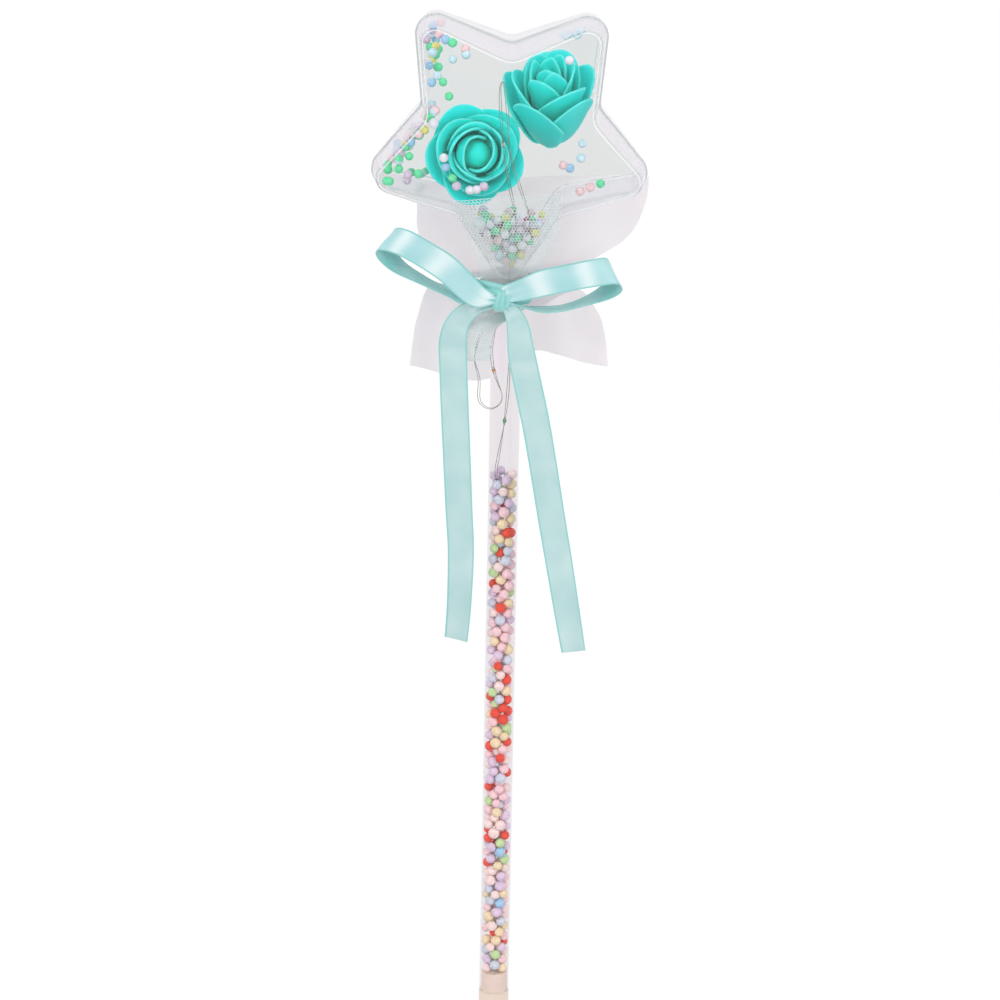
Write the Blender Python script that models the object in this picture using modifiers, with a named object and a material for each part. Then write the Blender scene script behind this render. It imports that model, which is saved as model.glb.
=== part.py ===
"""LED flower light stick: a clear star with foam roses on a bead-filled tube, tied with a ribbon bow.

Metres, +Z up along the tube, origin at the middle of the tail cap's end face.
The star's front faces -Y.
"""
from math import atan2, ceil, cos, pi, radians, sin

import bmesh
import bpy
from mathutils import Matrix, Vector

OBJECT_NAME = "led_flower_light_stick"

# Clearances
SEAT_GAP = 0.0003
FIT_GAP = 0.0003
SLIDE_GAP = 0.0003

# Stick tube
TUBE_OUTER_R = 0.0055
TUBE_WALL = 0.0008
TUBE_LENGTH = 0.2794
TUBE_SIDES = 24

# Tail cap and push button
CAP_LENGTH = 0.0067
CAP_FLOOR = 0.0040
CAP_SPIGOT_LENGTH = 0.0060
CAP_SPIGOT_WALL = 0.0012
CAP_EDGE_R = 0.0005
BUTTON_R = 0.0024
BUTTON_RECESS = 0.0003
BUTTON_FLANGE_W = 0.0006
BUTTON_FLANGE_H = 0.0010
BUTTON_STEM_R = 0.0012
BUTTON_TRAVEL = 0.0010
TURNED_SIDES = 20

# Switch board, switch and contact spring
BOARD_THICK = 0.0010
SWITCH_SIDE = 0.0044
SWITCH_HEIGHT = 0.0020
SWITCH_PIN_R = 0.0010
SWITCH_PIN_H = 0.0008
SPRING_WIRE_R = 0.00025
SPRING_COIL_R = 0.0024
SPRING_HEIGHT = 0.0042
SPRING_TURNS = 3

# Battery case, cells and contacts
CASE_SKIRT_WALL = 0.0006
CELL_R = 0.00395
CELL_HEIGHT = 0.0036
CELL_COUNT = 3
CELL_RIM = 0.0006
CONTACT_THICK = 0.0004
CASE_PARTITION = 0.0024
CASE_NECK_LENGTH = 0.0073
STRIP_THICK = 0.0003
STRIP_WIDTH = 0.0016

# Bead column in the tube
BEAD_COLUMN_BELOW_LED = 0.0179
BEAD_COLUMN_BUMP = 0.00025
BEAD_COLUMN_PITCH = 0.0082
BEAD_COLUMN_SIDES = 10

# LED string
WIRE_R = 0.0003
WIRE_OFFSET = 0.0033
WIRE_STEP = 0.0045
LED_R = 0.0011
LED_HALF_LENGTH = 0.0017
TUBE_LED_DROP = 0.0577

# Star head
STAR_TIP_R = 0.0590
STAR_NOTCH_R = 0.0312
STAR_POINTS = 5
STAR_TIP_FILLET = 0.0070
STAR_NOTCH_FILLET = 0.0060
STAR_HALF_DEPTH = 0.0200
STAR_DRAFT = 0.0013
STAR_EDGE_R = 0.0018
STAR_WALL = 0.0011
COLLAR_WALL = 0.0015
COLLAR_BELOW_TIP = 0.0100
COLLAR_GRIP = 0.0135

# Roses: petals are nested bowls round a post
PETAL_THICK = 0.0010
PETAL_GAP = 0.0005
PETAL_ROUNDING = 0.22
ROSE_POST_R = 0.0024
ROSE_POST_LENGTH = 0.0114
ROSE_RIM_R = 0.0164
ROSE_RIM_HEIGHT = 0.0058
BUD_DISC_THICK = 0.0010
BUD_DISC_Z = 0.0024
BUD_INNER_R = 0.0013
BUD_PITCH = 0.0015
BUD_TURNS = 2
BUD_HEIGHT = 0.0115
BUD_FLARE = 0.0005
LEFT_ROSE_PLACE = (-0.0129, -0.0092, -0.0068)
LEFT_ROSE_FACING = (0.06, -0.95, 0.30)
LEFT_ROSE_SPIN = 100.0
RIGHT_ROSE_PLACE = (0.0116, -0.0018, 0.0160)
RIGHT_ROSE_FACING = (-0.10, -0.52, 0.85)
RIGHT_ROSE_SPIN = 40.0

# Loose beads held to the front shell by static
BEAD_R = 0.0016

# Wraps and ribbon
WRAP_THICK = 0.0005
TULLE_THICK = 0.0005
RIBBON_WIDTH = 0.0100
RIBBON_THICK = 0.0006
BAND_HEIGHT = 0.0064
BAND_LIFT = 0.0005
KNOT_SIZE = (0.0090, 0.0060, 0.0086)
KNOT_SHIFT = -0.0028
KNOT_DROP = 0.0010
LOOP_TILT = 60.0
LEFT_LOOP_REACH = 0.0430
LEFT_LOOP_RISE = 21.0
LEFT_LOOP_SPREAD = 0.0095
RIGHT_LOOP_REACH = 0.0385
RIGHT_LOOP_RISE = 9.0
RIGHT_LOOP_SPREAD = 0.0095
TAIL_LENGTH = 0.1240
TAIL_SWAY = 0.0012
TAIL_TWIST = 0.0006
PINCH_SHARE = 0.42
PINCH_REACH = 0.25
SHELF_SAG = 0.0002

# Places that follow from the sizes
TUBE_INNER_R = TUBE_OUTER_R - TUBE_WALL
CASE_BOTTOM_Z = CAP_LENGTH + SEAT_GAP
SPIGOT_TOP_Z = CAP_LENGTH + CAP_SPIGOT_LENGTH
CASE_SKIRT_R = TUBE_OUTER_R - CASE_SKIRT_WALL
SPIGOT_R = CASE_SKIRT_R - FIT_GAP
CAP_CAVITY_R = SPIGOT_R - CAP_SPIGOT_WALL
BOARD_Z = SPIGOT_TOP_Z + SEAT_GAP
BOARD_TOP_Z = BOARD_Z + BOARD_THICK
SWITCH_TOP_Z = BOARD_Z - SEAT_GAP
SWITCH_PIN_Z = SWITCH_TOP_Z - SWITCH_HEIGHT - SWITCH_PIN_H
SPRING_Z = BOARD_TOP_Z + SEAT_GAP
CELL_Z = SPRING_Z + SPRING_HEIGHT + SEAT_GAP
CELL_STEP = CELL_HEIGHT + SEAT_GAP
CONTACT_Z = CELL_Z + CELL_COUNT * CELL_STEP
PARTITION_Z = CONTACT_Z + CONTACT_THICK + SEAT_GAP
CASE_TOP_Z = PARTITION_Z + CASE_PARTITION
CASE_BORE_R = CELL_R + FIT_GAP
CASE_NECK_R = TUBE_INNER_R - FIT_GAP
NECK_TOP_Z = CASE_TOP_Z + CASE_NECK_LENGTH
TUBE_BOTTOM_Z = CASE_TOP_Z + SEAT_GAP
TUBE_TOP_Z = TUBE_BOTTOM_Z + TUBE_LENGTH
TUBE_LED_Z = TUBE_TOP_Z - TUBE_LED_DROP
BEAD_COLUMN_Z = NECK_TOP_Z + SEAT_GAP
BEAD_COLUMN_LENGTH = TUBE_LED_Z - BEAD_COLUMN_BELOW_LED - BEAD_COLUMN_Z
COLLAR_BOTTOM_Z = TUBE_TOP_Z - COLLAR_GRIP
COLLAR_BORE_R = TUBE_OUTER_R + FIT_GAP
COLLAR_R = COLLAR_BORE_R + COLLAR_WALL
STAR_SPACING = 2 * pi / STAR_POINTS
TIP_HALF_ANGLE = atan2(
    STAR_NOTCH_R * sin(STAR_SPACING / 2),
    STAR_TIP_R - STAR_NOTCH_R * cos(STAR_SPACING / 2),
)
EDGE_TURN = pi / 2 - TIP_HALF_ANGLE
TIP_CENTRE_R = STAR_TIP_R - STAR_TIP_FILLET / sin(TIP_HALF_ANGLE)
NOTCH_CENTRE_R = STAR_NOTCH_R + STAR_NOTCH_FILLET / cos(EDGE_TURN - STAR_SPACING / 2)
STAR_DROP = TIP_CENTRE_R + STAR_TIP_FILLET
STAR_TIP_Z = COLLAR_BOTTOM_Z + COLLAR_BELOW_TIP
STAR_Z = STAR_TIP_Z + STAR_DROP
FACE_Y = STAR_HALF_DEPTH - STAR_WALL
GATHER_R = COLLAR_R + SEAT_GAP + WRAP_THICK
BAND_R = GATHER_R + WRAP_THICK / 2 + SEAT_GAP
BAND_Z = COLLAR_BOTTOM_Z + BAND_LIFT
KNOT_Y = -(BAND_R + RIBBON_THICK + SEAT_GAP + KNOT_SIZE[1] / 2)
KNOT_Z = BAND_Z + BAND_HEIGHT / 2 - KNOT_DROP
SHEET_Y = STAR_HALF_DEPTH + SEAT_GAP + WRAP_THICK
SHELF_Z = STAR_TIP_Z - SEAT_GAP - WRAP_THICK / 2 - SHELF_SAG


def clear_scene():
    for obj in list(bpy.data.objects):
        bpy.data.objects.remove(obj, do_unlink=True)


def new_collection(name):
    group = bpy.data.collections.new(name)
    bpy.context.scene.collection.children.link(group)
    return group


def new_material(name, colour, roughness, metallic=0.0, transmission=0.0):
    mat = bpy.data.materials.new(name)
    mat.use_nodes = True
    shader = mat.node_tree.nodes["Principled BSDF"]
    shader.inputs["Base Color"].default_value = (*colour, 1.0)
    shader.inputs["Roughness"].default_value = roughness
    shader.inputs["Metallic"].default_value = metallic
    shader.inputs["Transmission Weight"].default_value = transmission
    mat.diffuse_color = (*colour, 1.0)
    return mat


clear_scene()
PARTS = new_collection(OBJECT_NAME)
CUTTERS = new_collection("cutters")

CLEAR_STAR = new_material("clear_polystyrene", (0.93, 0.94, 0.96), 0.05, transmission=1.0)
CLEAR_TUBE = new_material("clear_acrylic", (0.95, 0.94, 0.95), 0.05, transmission=1.0)
ROSE_FOAM = new_material("turquoise_foam", (0.03, 0.70, 0.62), 0.55)
BEAD_FOAM = new_material("bead_foam", (0.75, 0.70, 0.85), 0.60)
WRAP_CLOTH = new_material("white_nonwoven", (0.80, 0.78, 0.80), 0.80)
TULLE_NET = new_material("mint_tulle", (0.55, 0.72, 0.72), 0.80)
SATIN = new_material("mint_satin", (0.50, 0.75, 0.74), 0.35)
COPPER = new_material("lacquered_wire", (0.55, 0.48, 0.40), 0.30, metallic=1.0)
LED_RESIN = new_material("led_resin", (0.90, 0.80, 0.50), 0.15)
WHITE_PLASTIC = new_material("white_abs", (0.85, 0.80, 0.76), 0.40)
STEEL = new_material("plated_steel", (0.60, 0.60, 0.60), 0.25, metallic=1.0)
BRASS = new_material("contact_brass", (0.75, 0.60, 0.30), 0.30, metallic=1.0)
BOARD_RESIN = new_material("board_resin", (0.05, 0.25, 0.10), 0.50)
SWITCH_BLACK = new_material("switch_black", (0.03, 0.03, 0.03), 0.50)


def add_object(name, mesh, mat=None, group=PARTS):
    obj = bpy.data.objects.new(name, mesh)
    group.objects.link(obj)
    if mat:
        mesh.materials.append(mat)
        mesh.shade_smooth()
        mesh.set_sharp_from_angle(angle=radians(35))
    else:
        obj.hide_render = True
        obj.display_type = "WIRE"
    return obj


def mesh_from(bm, name):
    mesh = bpy.data.meshes.new(name)
    bm.to_mesh(mesh)
    bm.free()
    return mesh


def boolean(obj, other, operation):
    mod = obj.modifiers.new(other.name, "BOOLEAN")
    mod.operation = operation
    mod.object = other
    mod.solver = "EXACT"


def cylinder(name, radius, low, high, sides=TURNED_SIDES, centre=(0.0, 0.0), mat=None, group=CUTTERS):
    bm = bmesh.new()
    place = Matrix.Translation((centre[0], centre[1], (low + high) / 2))
    bmesh.ops.create_cone(bm, cap_ends=True, segments=sides, radius1=radius, radius2=radius,
                          depth=high - low, matrix=place)
    return add_object(name, mesh_from(bm, name), mat, group)


def box(name, low, high, mat=None, group=CUTTERS, bevel=0.0):
    bm = bmesh.new()
    size = [b - a for a, b in zip(low, high)]
    middle = [(a + b) / 2 for a, b in zip(low, high)]
    bmesh.ops.create_cube(bm, size=1.0, matrix=Matrix.Translation(middle) @ Matrix.Diagonal((*size, 1.0)))
    obj = add_object(name, mesh_from(bm, name), mat, group)
    if bevel:
        mod = obj.modifiers.new("rounded", "BEVEL")
        mod.width = bevel
        mod.segments = 2
    return obj


def turned(name, profile, mat, closed=False, sides=TURNED_SIDES):
    """Turn a profile of (radius, z) points about Z; it runs down the outer side."""
    bm = bmesh.new()
    points = [bm.verts.new((r, 0.0, z)) for r, z in profile]
    for a, b in zip(points, points[1:]):
        bm.edges.new((a, b))
    if closed:
        bm.edges.new((points[-1], points[0]))
    obj = add_object(name, mesh_from(bm, name), mat)
    mod = obj.modifiers.new("turned", "SCREW")
    mod.steps = sides
    mod.render_steps = sides
    mod.use_merge_vertices = True
    mod.merge_threshold = 0.00001
    return obj


def draped(name, surface, columns, rows, thickness, mat):
    """A thickened sheet: surface(u, v) places a grid with u and v from -1 to 1."""
    bm = bmesh.new()
    bmesh.ops.create_grid(bm, x_segments=columns, y_segments=rows, size=1.0)
    for vert in bm.verts:
        vert.co = surface(vert.co.x, vert.co.y)
    obj = add_object(name, mesh_from(bm, name), mat)
    mod = obj.modifiers.new("thickness", "SOLIDIFY")
    mod.thickness = thickness
    mod.offset = 0.0
    mod.use_even_offset = True
    return obj


def wire(name, points, radius, mat, bevel_resolution=1):
    curve = bpy.data.curves.new(name, "CURVE")
    curve.dimensions = "3D"
    curve.bevel_depth = radius
    curve.bevel_resolution = bevel_resolution
    curve.use_fill_caps = True
    spline = curve.splines.new("POLY")
    spline.points.add(len(points) - 1)
    for target, point in zip(spline.points, points):
        target.co = (*point, 1.0)
    obj = bpy.data.objects.new(name, curve)
    PARTS.objects.link(obj)
    curve.materials.append(mat)
    return obj


def smooth_path(points, spacing):
    """Points read from a Catmull-Rom curve through the given points."""
    knots = [Vector(p) for p in points]
    knots = [2 * knots[0] - knots[1]] + knots + [2 * knots[-1] - knots[-2]]
    path = []
    for a, b, c, d in zip(knots, knots[1:], knots[2:], knots[3:]):
        steps = max(1, ceil((c - b).length / spacing))
        for i in range(steps):
            t = i / steps
            path.append(0.5 * (2 * b + (c - a) * t + (2 * a - 5 * b + 4 * c - d) * t ** 2
                               + (3 * b - a - 3 * c + d) * t ** 3))
    path.append(knots[-2])
    return path


def blend_rows(rows, v):
    """Smooth values between rows of numbers, v from 0 at the first row to 1 at the last."""
    place = v * (len(rows) - 1)
    i = min(int(place), len(rows) - 2)
    t = place - i
    before = rows[max(i - 1, 0)]
    after = rows[min(i + 2, len(rows) - 1)]
    values = []
    for a, b, c, d in zip(before, rows[i], rows[i + 1], after):
        m1 = (c - a) / 2
        m2 = (d - b) / 2
        values.append((2 * t ** 3 - 3 * t ** 2 + 1) * b + (t ** 3 - 2 * t ** 2 + t) * m1
                      + (3 * t ** 2 - 2 * t ** 3) * c + (t ** 3 - t ** 2) * m2)
    return values


# Tail cap with the push button
def make_tail_cap():
    hole = BUTTON_R + SLIDE_GAP
    cap = turned("tail_cap", [
        (SPIGOT_R, SPIGOT_TOP_Z), (SPIGOT_R, CAP_LENGTH), (TUBE_OUTER_R, CAP_LENGTH),
        (TUBE_OUTER_R, CAP_EDGE_R), (TUBE_OUTER_R - CAP_EDGE_R, 0.0), (hole, 0.0), (hole, CAP_FLOOR),
        (CAP_CAVITY_R, CAP_FLOOR), (CAP_CAVITY_R, SPIGOT_TOP_Z)], WHITE_PLASTIC, closed=True)
    return cap


def make_push_button():
    flange_z = CAP_FLOOR + SEAT_GAP
    flange_top = flange_z + BUTTON_FLANGE_H
    stem_top = SWITCH_PIN_Z - BUTTON_TRAVEL - SEAT_GAP
    flange_r = BUTTON_R + BUTTON_FLANGE_W
    return turned("push_button", [
        (0.0, stem_top), (BUTTON_STEM_R, stem_top), (BUTTON_STEM_R, flange_top), (flange_r, flange_top),
        (flange_r, flange_z), (BUTTON_R, flange_z), (BUTTON_R, BUTTON_RECESS), (0.0, BUTTON_RECESS)],
        SWITCH_BLACK)


# Switch board, switch and spring ride with the tail cap
def make_switch_module():
    cylinder("switch_board", SPIGOT_R, BOARD_Z, BOARD_TOP_Z, mat=BOARD_RESIN, group=PARTS)
    half = SWITCH_SIDE / 2
    switch = box("tact_switch", (-half, -half, SWITCH_TOP_Z - SWITCH_HEIGHT), (half, half, SWITCH_TOP_Z),
                 SWITCH_BLACK, PARTS)
    pin = cylinder("switch_pin", SWITCH_PIN_R, SWITCH_PIN_Z, SWITCH_TOP_Z - SWITCH_HEIGHT / 2)
    boolean(switch, pin, "UNION")
    rise = SPRING_HEIGHT - 2 * SPRING_WIRE_R
    coil_points = 10
    helix = []
    for i in range(SPRING_TURNS * coil_points + 1):
        turn = i / coil_points
        helix.append((SPRING_COIL_R * cos(2 * pi * turn), SPRING_COIL_R * sin(2 * pi * turn),
                      SPRING_Z + SPRING_WIRE_R + rise * turn / SPRING_TURNS))
    wire("contact_spring", helix, SPRING_WIRE_R, STEEL)
    print("contact spring's least gap between turns", rise / SPRING_TURNS - 2 * SPRING_WIRE_R)


def make_battery_case():
    case = turned("battery_case", [
        (0.0, NECK_TOP_Z), (CASE_NECK_R, NECK_TOP_Z), (CASE_NECK_R, CASE_TOP_Z), (TUBE_OUTER_R, CASE_TOP_Z),
        (TUBE_OUTER_R, CASE_BOTTOM_Z), (CASE_SKIRT_R, CASE_BOTTOM_Z), (CASE_SKIRT_R, SPRING_Z),
        (CASE_BORE_R, SPRING_Z), (CASE_BORE_R, PARTITION_Z), (0.0, PARTITION_Z)], WHITE_PLASTIC)
    wire_hole = cylinder("wire_hole", WIRE_R + FIT_GAP, PARTITION_Z - CASE_PARTITION, NECK_TOP_Z + CASE_PARTITION,
                         sides=10, centre=(0.0, -WIRE_OFFSET))
    boolean(case, wire_hole, "DIFFERENCE")
    depth = STRIP_THICK + FIT_GAP
    groove = box("strip_groove",
                 (-CASE_BORE_R - depth, -STRIP_WIDTH / 2 - FIT_GAP, SPRING_Z - STRIP_THICK),
                 (-CASE_BORE_R + depth, STRIP_WIDTH / 2 + FIT_GAP, PARTITION_Z + STRIP_THICK))
    boolean(case, groove, "DIFFERENCE")


def make_cells():
    for i in range(CELL_COUNT):
        low = CELL_Z + i * CELL_STEP
        high = low + CELL_HEIGHT
        turned(f"button_cell_{i + 1}", [
            (0.0, high), (CELL_R - CELL_RIM / 2, high), (CELL_R, high - CELL_RIM / 2), (CELL_R, low + CELL_RIM),
            (CELL_R - CELL_RIM, low), (0.0, low)], STEEL)
    cylinder("positive_contact", CELL_R, CONTACT_Z, CONTACT_Z + CONTACT_THICK, mat=BRASS, group=PARTS)
    strip_x = -CASE_BORE_R
    box("return_strip", (strip_x - STRIP_THICK / 2, -STRIP_WIDTH / 2, SPRING_Z),
        (strip_x + STRIP_THICK / 2, STRIP_WIDTH / 2, PARTITION_Z - SEAT_GAP), BRASS, PARTS)


# Stick tube with its bead column
def make_tube():
    turned("stick_tube", [
        (TUBE_OUTER_R, TUBE_TOP_Z), (TUBE_OUTER_R, TUBE_BOTTOM_Z), (TUBE_INNER_R, TUBE_BOTTOM_Z),
        (TUBE_INNER_R, TUBE_TOP_Z)], CLEAR_TUBE, closed=True, sides=TUBE_SIDES)


def make_bead_column():
    low = BEAD_COLUMN_Z
    rings = 2 * round(BEAD_COLUMN_LENGTH / BEAD_COLUMN_PITCH)
    middle_r = TUBE_INNER_R - FIT_GAP - BEAD_COLUMN_BUMP
    profile = [(0.0, low + BEAD_COLUMN_LENGTH)]
    for i in range(rings + 1):
        bump = BEAD_COLUMN_BUMP if i % 2 else -BEAD_COLUMN_BUMP
        profile.append((middle_r + bump, low + BEAD_COLUMN_LENGTH * (1 - i / rings)))
    profile.append((0.0, low))
    column = turned("tube_bead_column", profile, BEAD_FOAM, sides=BEAD_COLUMN_SIDES)
    reach = WIRE_R + FIT_GAP
    channel = box("wire_channel", (-reach, -TUBE_OUTER_R, low - TUBE_OUTER_R),
                  (reach, -WIRE_OFFSET + reach, low + BEAD_COLUMN_LENGTH + TUBE_OUTER_R))
    boolean(column, channel, "DIFFERENCE")


# LED string: one wire up the tube and over a bend in the star, and a slack loop below the bow
STAR_WIRE_POINTS = [
    (0.0010, -0.0058, 0.0050), (0.0022, -0.0112, 0.0110), (0.0026, -0.0152, 0.0205), (0.0008, -0.0165, 0.0300),
    (-0.0016, -0.0168, 0.0415), (-0.0023, -0.0168, 0.0480), (-0.0030, -0.0168, 0.0545),
    (-0.0036, -0.0162, 0.0640), (-0.0037, -0.0156, 0.0700), (-0.0029, -0.0152, 0.0722),
    (-0.0020, -0.0156, 0.0700), (-0.0010, -0.0164, 0.0600), (0.0004, -0.0168, 0.0440),
    (0.0040, -0.0165, 0.0320), (0.0074, -0.0152, 0.0210), (0.0062, -0.0110, 0.0120), (0.0036, -0.0060, 0.0060),
    (0.0022, -0.0030, 0.0006)]
STAR_LED_AT = 5
SLACK_LOOP_POINTS = [
    (-0.0046, -0.0047, -0.0008), (-0.0074, -0.0068, -0.0070), (-0.0104, -0.0079, -0.0150),
    (-0.0110, -0.0080, -0.0205), (-0.0094, -0.0080, -0.0270), (-0.0093, -0.0080, -0.0345),
    (-0.0074, -0.0080, -0.0374), (-0.0045, -0.0080, -0.0382), (-0.0017, -0.0080, -0.0362),
    (-0.0011, -0.0080, -0.0330), (-0.0028, -0.0080, -0.0282), (-0.0042, -0.0080, -0.0240),
    (-0.0049, -0.0080, -0.0200), (-0.0050, -0.0078, -0.0150), (-0.0034, -0.0073, -0.0070),
    (-0.0012, -0.0065, -0.0008)]
SLACK_LED_AT = 11


def make_led(name, place, along):
    """A resin drop threaded on the wire."""
    bm = bmesh.new()
    bmesh.ops.create_uvsphere(bm, u_segments=10, v_segments=6, radius=LED_R,
                              matrix=Matrix.Diagonal((1.0, 1.0, LED_HALF_LENGTH / LED_R, 1.0)))
    led = add_object(name, mesh_from(bm, name), LED_RESIN)
    bore = cylinder(name + "_bore", WIRE_R + FIT_GAP, -2 * LED_HALF_LENGTH, 2 * LED_HALF_LENGTH, sides=8)
    turn = Vector((0.0, 0.0, 1.0)).rotation_difference(along).to_matrix().to_4x4()
    for obj in (led, bore):
        obj.matrix_world = Matrix.Translation(place) @ turn
    boolean(led, bore, "DIFFERENCE")


def make_led_string():
    star = [Vector((x, y, z + TUBE_TOP_Z)) for x, y, z in STAR_WIRE_POINTS]
    start = Vector((0.0, -WIRE_OFFSET, CONTACT_Z + CONTACT_THICK + SEAT_GAP))
    tube_end = Vector((0.0, -WIRE_OFFSET, TUBE_TOP_Z))
    tube_led = Vector((0.0, -WIRE_OFFSET, TUBE_LED_Z))
    riser = [start, tube_led] + smooth_path([tube_end] + star, WIRE_STEP)
    wire("led_wire", riser, WIRE_R, COPPER)
    make_led("star_led", star[STAR_LED_AT], star[STAR_LED_AT + 1] - star[STAR_LED_AT - 1])
    make_led("tube_led", tube_led, tube_end - start)
    loop = [Vector((x, y, z + COLLAR_BOTTOM_Z)) for x, y, z in SLACK_LOOP_POINTS]
    wire("led_slack_loop", smooth_path(loop, WIRE_STEP / 2), WIRE_R, COPPER)
    make_led("slack_loop_led", loop[SLACK_LED_AT], loop[SLACK_LED_AT + 1] - loop[SLACK_LED_AT - 1])


# Star head
def star_ring(inset, y):
    """The star's rounded outline, moved in by inset, at depth y; one point of the star hangs down."""
    points = []
    tip_steps = 5
    notch_steps = 3
    for k in range(STAR_POINTS):
        tip = -pi / 2 + k * STAR_SPACING
        for i in range(tip_steps + 1):
            a = tip - EDGE_TURN + 2 * EDGE_TURN * i / tip_steps
            r = STAR_TIP_FILLET - inset
            points.append((TIP_CENTRE_R * cos(tip) + r * cos(a), TIP_CENTRE_R * sin(tip) + r * sin(a)))
        notch = tip + STAR_SPACING / 2
        for i in range(notch_steps + 1):
            a = tip + EDGE_TURN + (STAR_SPACING - 2 * EDGE_TURN) * i / notch_steps
            r = STAR_NOTCH_FILLET + inset
            points.append((NOTCH_CENTRE_R * cos(notch) - r * cos(a), NOTCH_CENTRE_R * sin(notch) - r * sin(a)))
    return [(x, y, STAR_Z + z) for x, z in points]


def make_star_shell(name, side):
    """Half of the star: side -1 is the front, +1 the back."""
    bm = bmesh.new()
    edge_y = STAR_HALF_DEPTH - STAR_EDGE_R
    bend = sin(pi / 4)
    sections = [
        (0.0, SEAT_GAP / 2),
        (STAR_DRAFT, edge_y),
        (STAR_DRAFT + STAR_EDGE_R * (1 - bend), edge_y + STAR_EDGE_R * bend),
        (STAR_DRAFT + STAR_EDGE_R, STAR_HALF_DEPTH)]
    rings = [[bm.verts.new(p) for p in star_ring(inset, side * y)] for inset, y in sections]
    for low, high in zip(rings, rings[1:]):
        for i in range(len(low)):
            bm.faces.new((low[i - 1], low[i], high[i], high[i - 1]))
    bm.faces.new(rings[-1])
    bmesh.ops.recalc_face_normals(bm, faces=bm.faces)
    shell = add_object(name, mesh_from(bm, name), CLEAR_STAR)
    mod = shell.modifiers.new("wall", "SOLIDIFY")
    mod.thickness = STAR_WALL
    mod.offset = -1.0
    mod.use_even_offset = True
    collar = cylinder(name + "_collar", COLLAR_R, COLLAR_BOTTOM_Z, TUBE_TOP_Z, sides=TUBE_SIDES)
    reach = 2 * COLLAR_R
    keep = box(name + "_collar_side", (-reach, min(side * SEAT_GAP / 2, side * reach), COLLAR_BOTTOM_Z - reach),
               (reach, max(side * SEAT_GAP / 2, side * reach), TUBE_TOP_Z + reach))
    boolean(collar, keep, "INTERSECT")
    boolean(shell, collar, "UNION")
    bore = cylinder(name + "_bore", COLLAR_BORE_R, COLLAR_BOTTOM_Z - reach, TUBE_TOP_Z + STAR_TIP_FILLET / 2,
                    sides=TUBE_SIDES)
    boolean(shell, bore, "DIFFERENCE")


# Roses
def bezier(points, s):
    a, b, c, d = points
    return tuple((1 - s) ** 3 * p + 3 * (1 - s) ** 2 * s * q + 3 * (1 - s) * s ** 2 * r + s ** 3 * t
                 for p, q, r, t in zip(a, b, c, d))


def petal_surface(profile, spread, step, turn):
    """A petal of a ring: its right side lies a layer outside its left, so the ring overlaps like a pinwheel."""
    def surface(u, v):
        t = (v + 1) / 2
        s = t - PETAL_ROUNDING * abs(u) ** 2.5 * t ** 3
        angle = u * spread
        r, z = bezier(profile, s)
        r1, z1 = bezier(profile, min(s + 0.01, 1.0))
        r0, z0 = bezier(profile, max(s - 0.01, 0.0))
        out = Vector((z1 - z0, r0 - r1)).normalized()
        layer = (PETAL_THICK + PETAL_GAP) * angle / step
        r += out.x * layer
        z += out.y * layer
        return Vector((r * cos(turn + angle), r * sin(turn + angle), z))
    return surface


def make_rose(name, place, facing, spin):
    """Petal rings are given as count, half-spread in degrees and four (radius, height) control points."""
    start = ROSE_POST_R + SEAT_GAP + PETAL_THICK / 4
    layer = 2 * (PETAL_THICK + PETAL_GAP) + PETAL_GAP
    wall = BUD_INNER_R + BUD_PITCH * BUD_TURNS + BUD_FLARE + PETAL_THICK + SEAT_GAP + layer / 3
    rim = (ROSE_RIM_R, ROSE_RIM_HEIGHT)
    rings = {
        "inner": (3, 80.0, 0.0, [(start, 0.0), (wall + 0.0028, -0.0002), (wall + 0.0002, 0.0070),
                                 (wall + 0.0018, 0.0132)]),
        "middle": (3, 80.0, 25.0, [(start, -layer), (wall + layer + 0.0038, -layer - 0.0002),
                                   (wall + layer, 0.0050), (wall + layer + 0.0028, 0.0100)]),
        "outer": (5, 48.0, 0.0, [(start, -2 * layer), (wall + 2 * layer + 0.0044, -2 * layer - 0.0003),
                                 (wall + 2 * layer - 0.0010, 0.0020), rim])}
    up = Vector(facing).normalized()
    turn = Vector((0.0, 0.0, 1.0)).rotation_difference(up).to_matrix().to_4x4()
    centre = Vector(place) + Vector((0.0, 0.0, STAR_Z)) - up * ROSE_RIM_HEIGHT
    frame = Matrix.Translation(centre) @ turn @ Matrix.Rotation(radians(spin), 4, "Z")
    anchor = bpy.data.objects.new(name, None)
    PARTS.objects.link(anchor)
    anchor.matrix_world = frame
    made = []
    for ring, (count, spread, offset, profile) in rings.items():
        step = 2 * pi / count
        for k in range(count):
            surface = petal_surface(profile, radians(spread), step, k * step + radians(offset))
            made.append(draped(f"{name}_{ring}_petal_{k + 1}", surface, 8, 5, PETAL_THICK, ROSE_FOAM))
    made.append(make_bud(f"{name}_bud"))
    for obj in made:
        obj.parent = anchor


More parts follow.
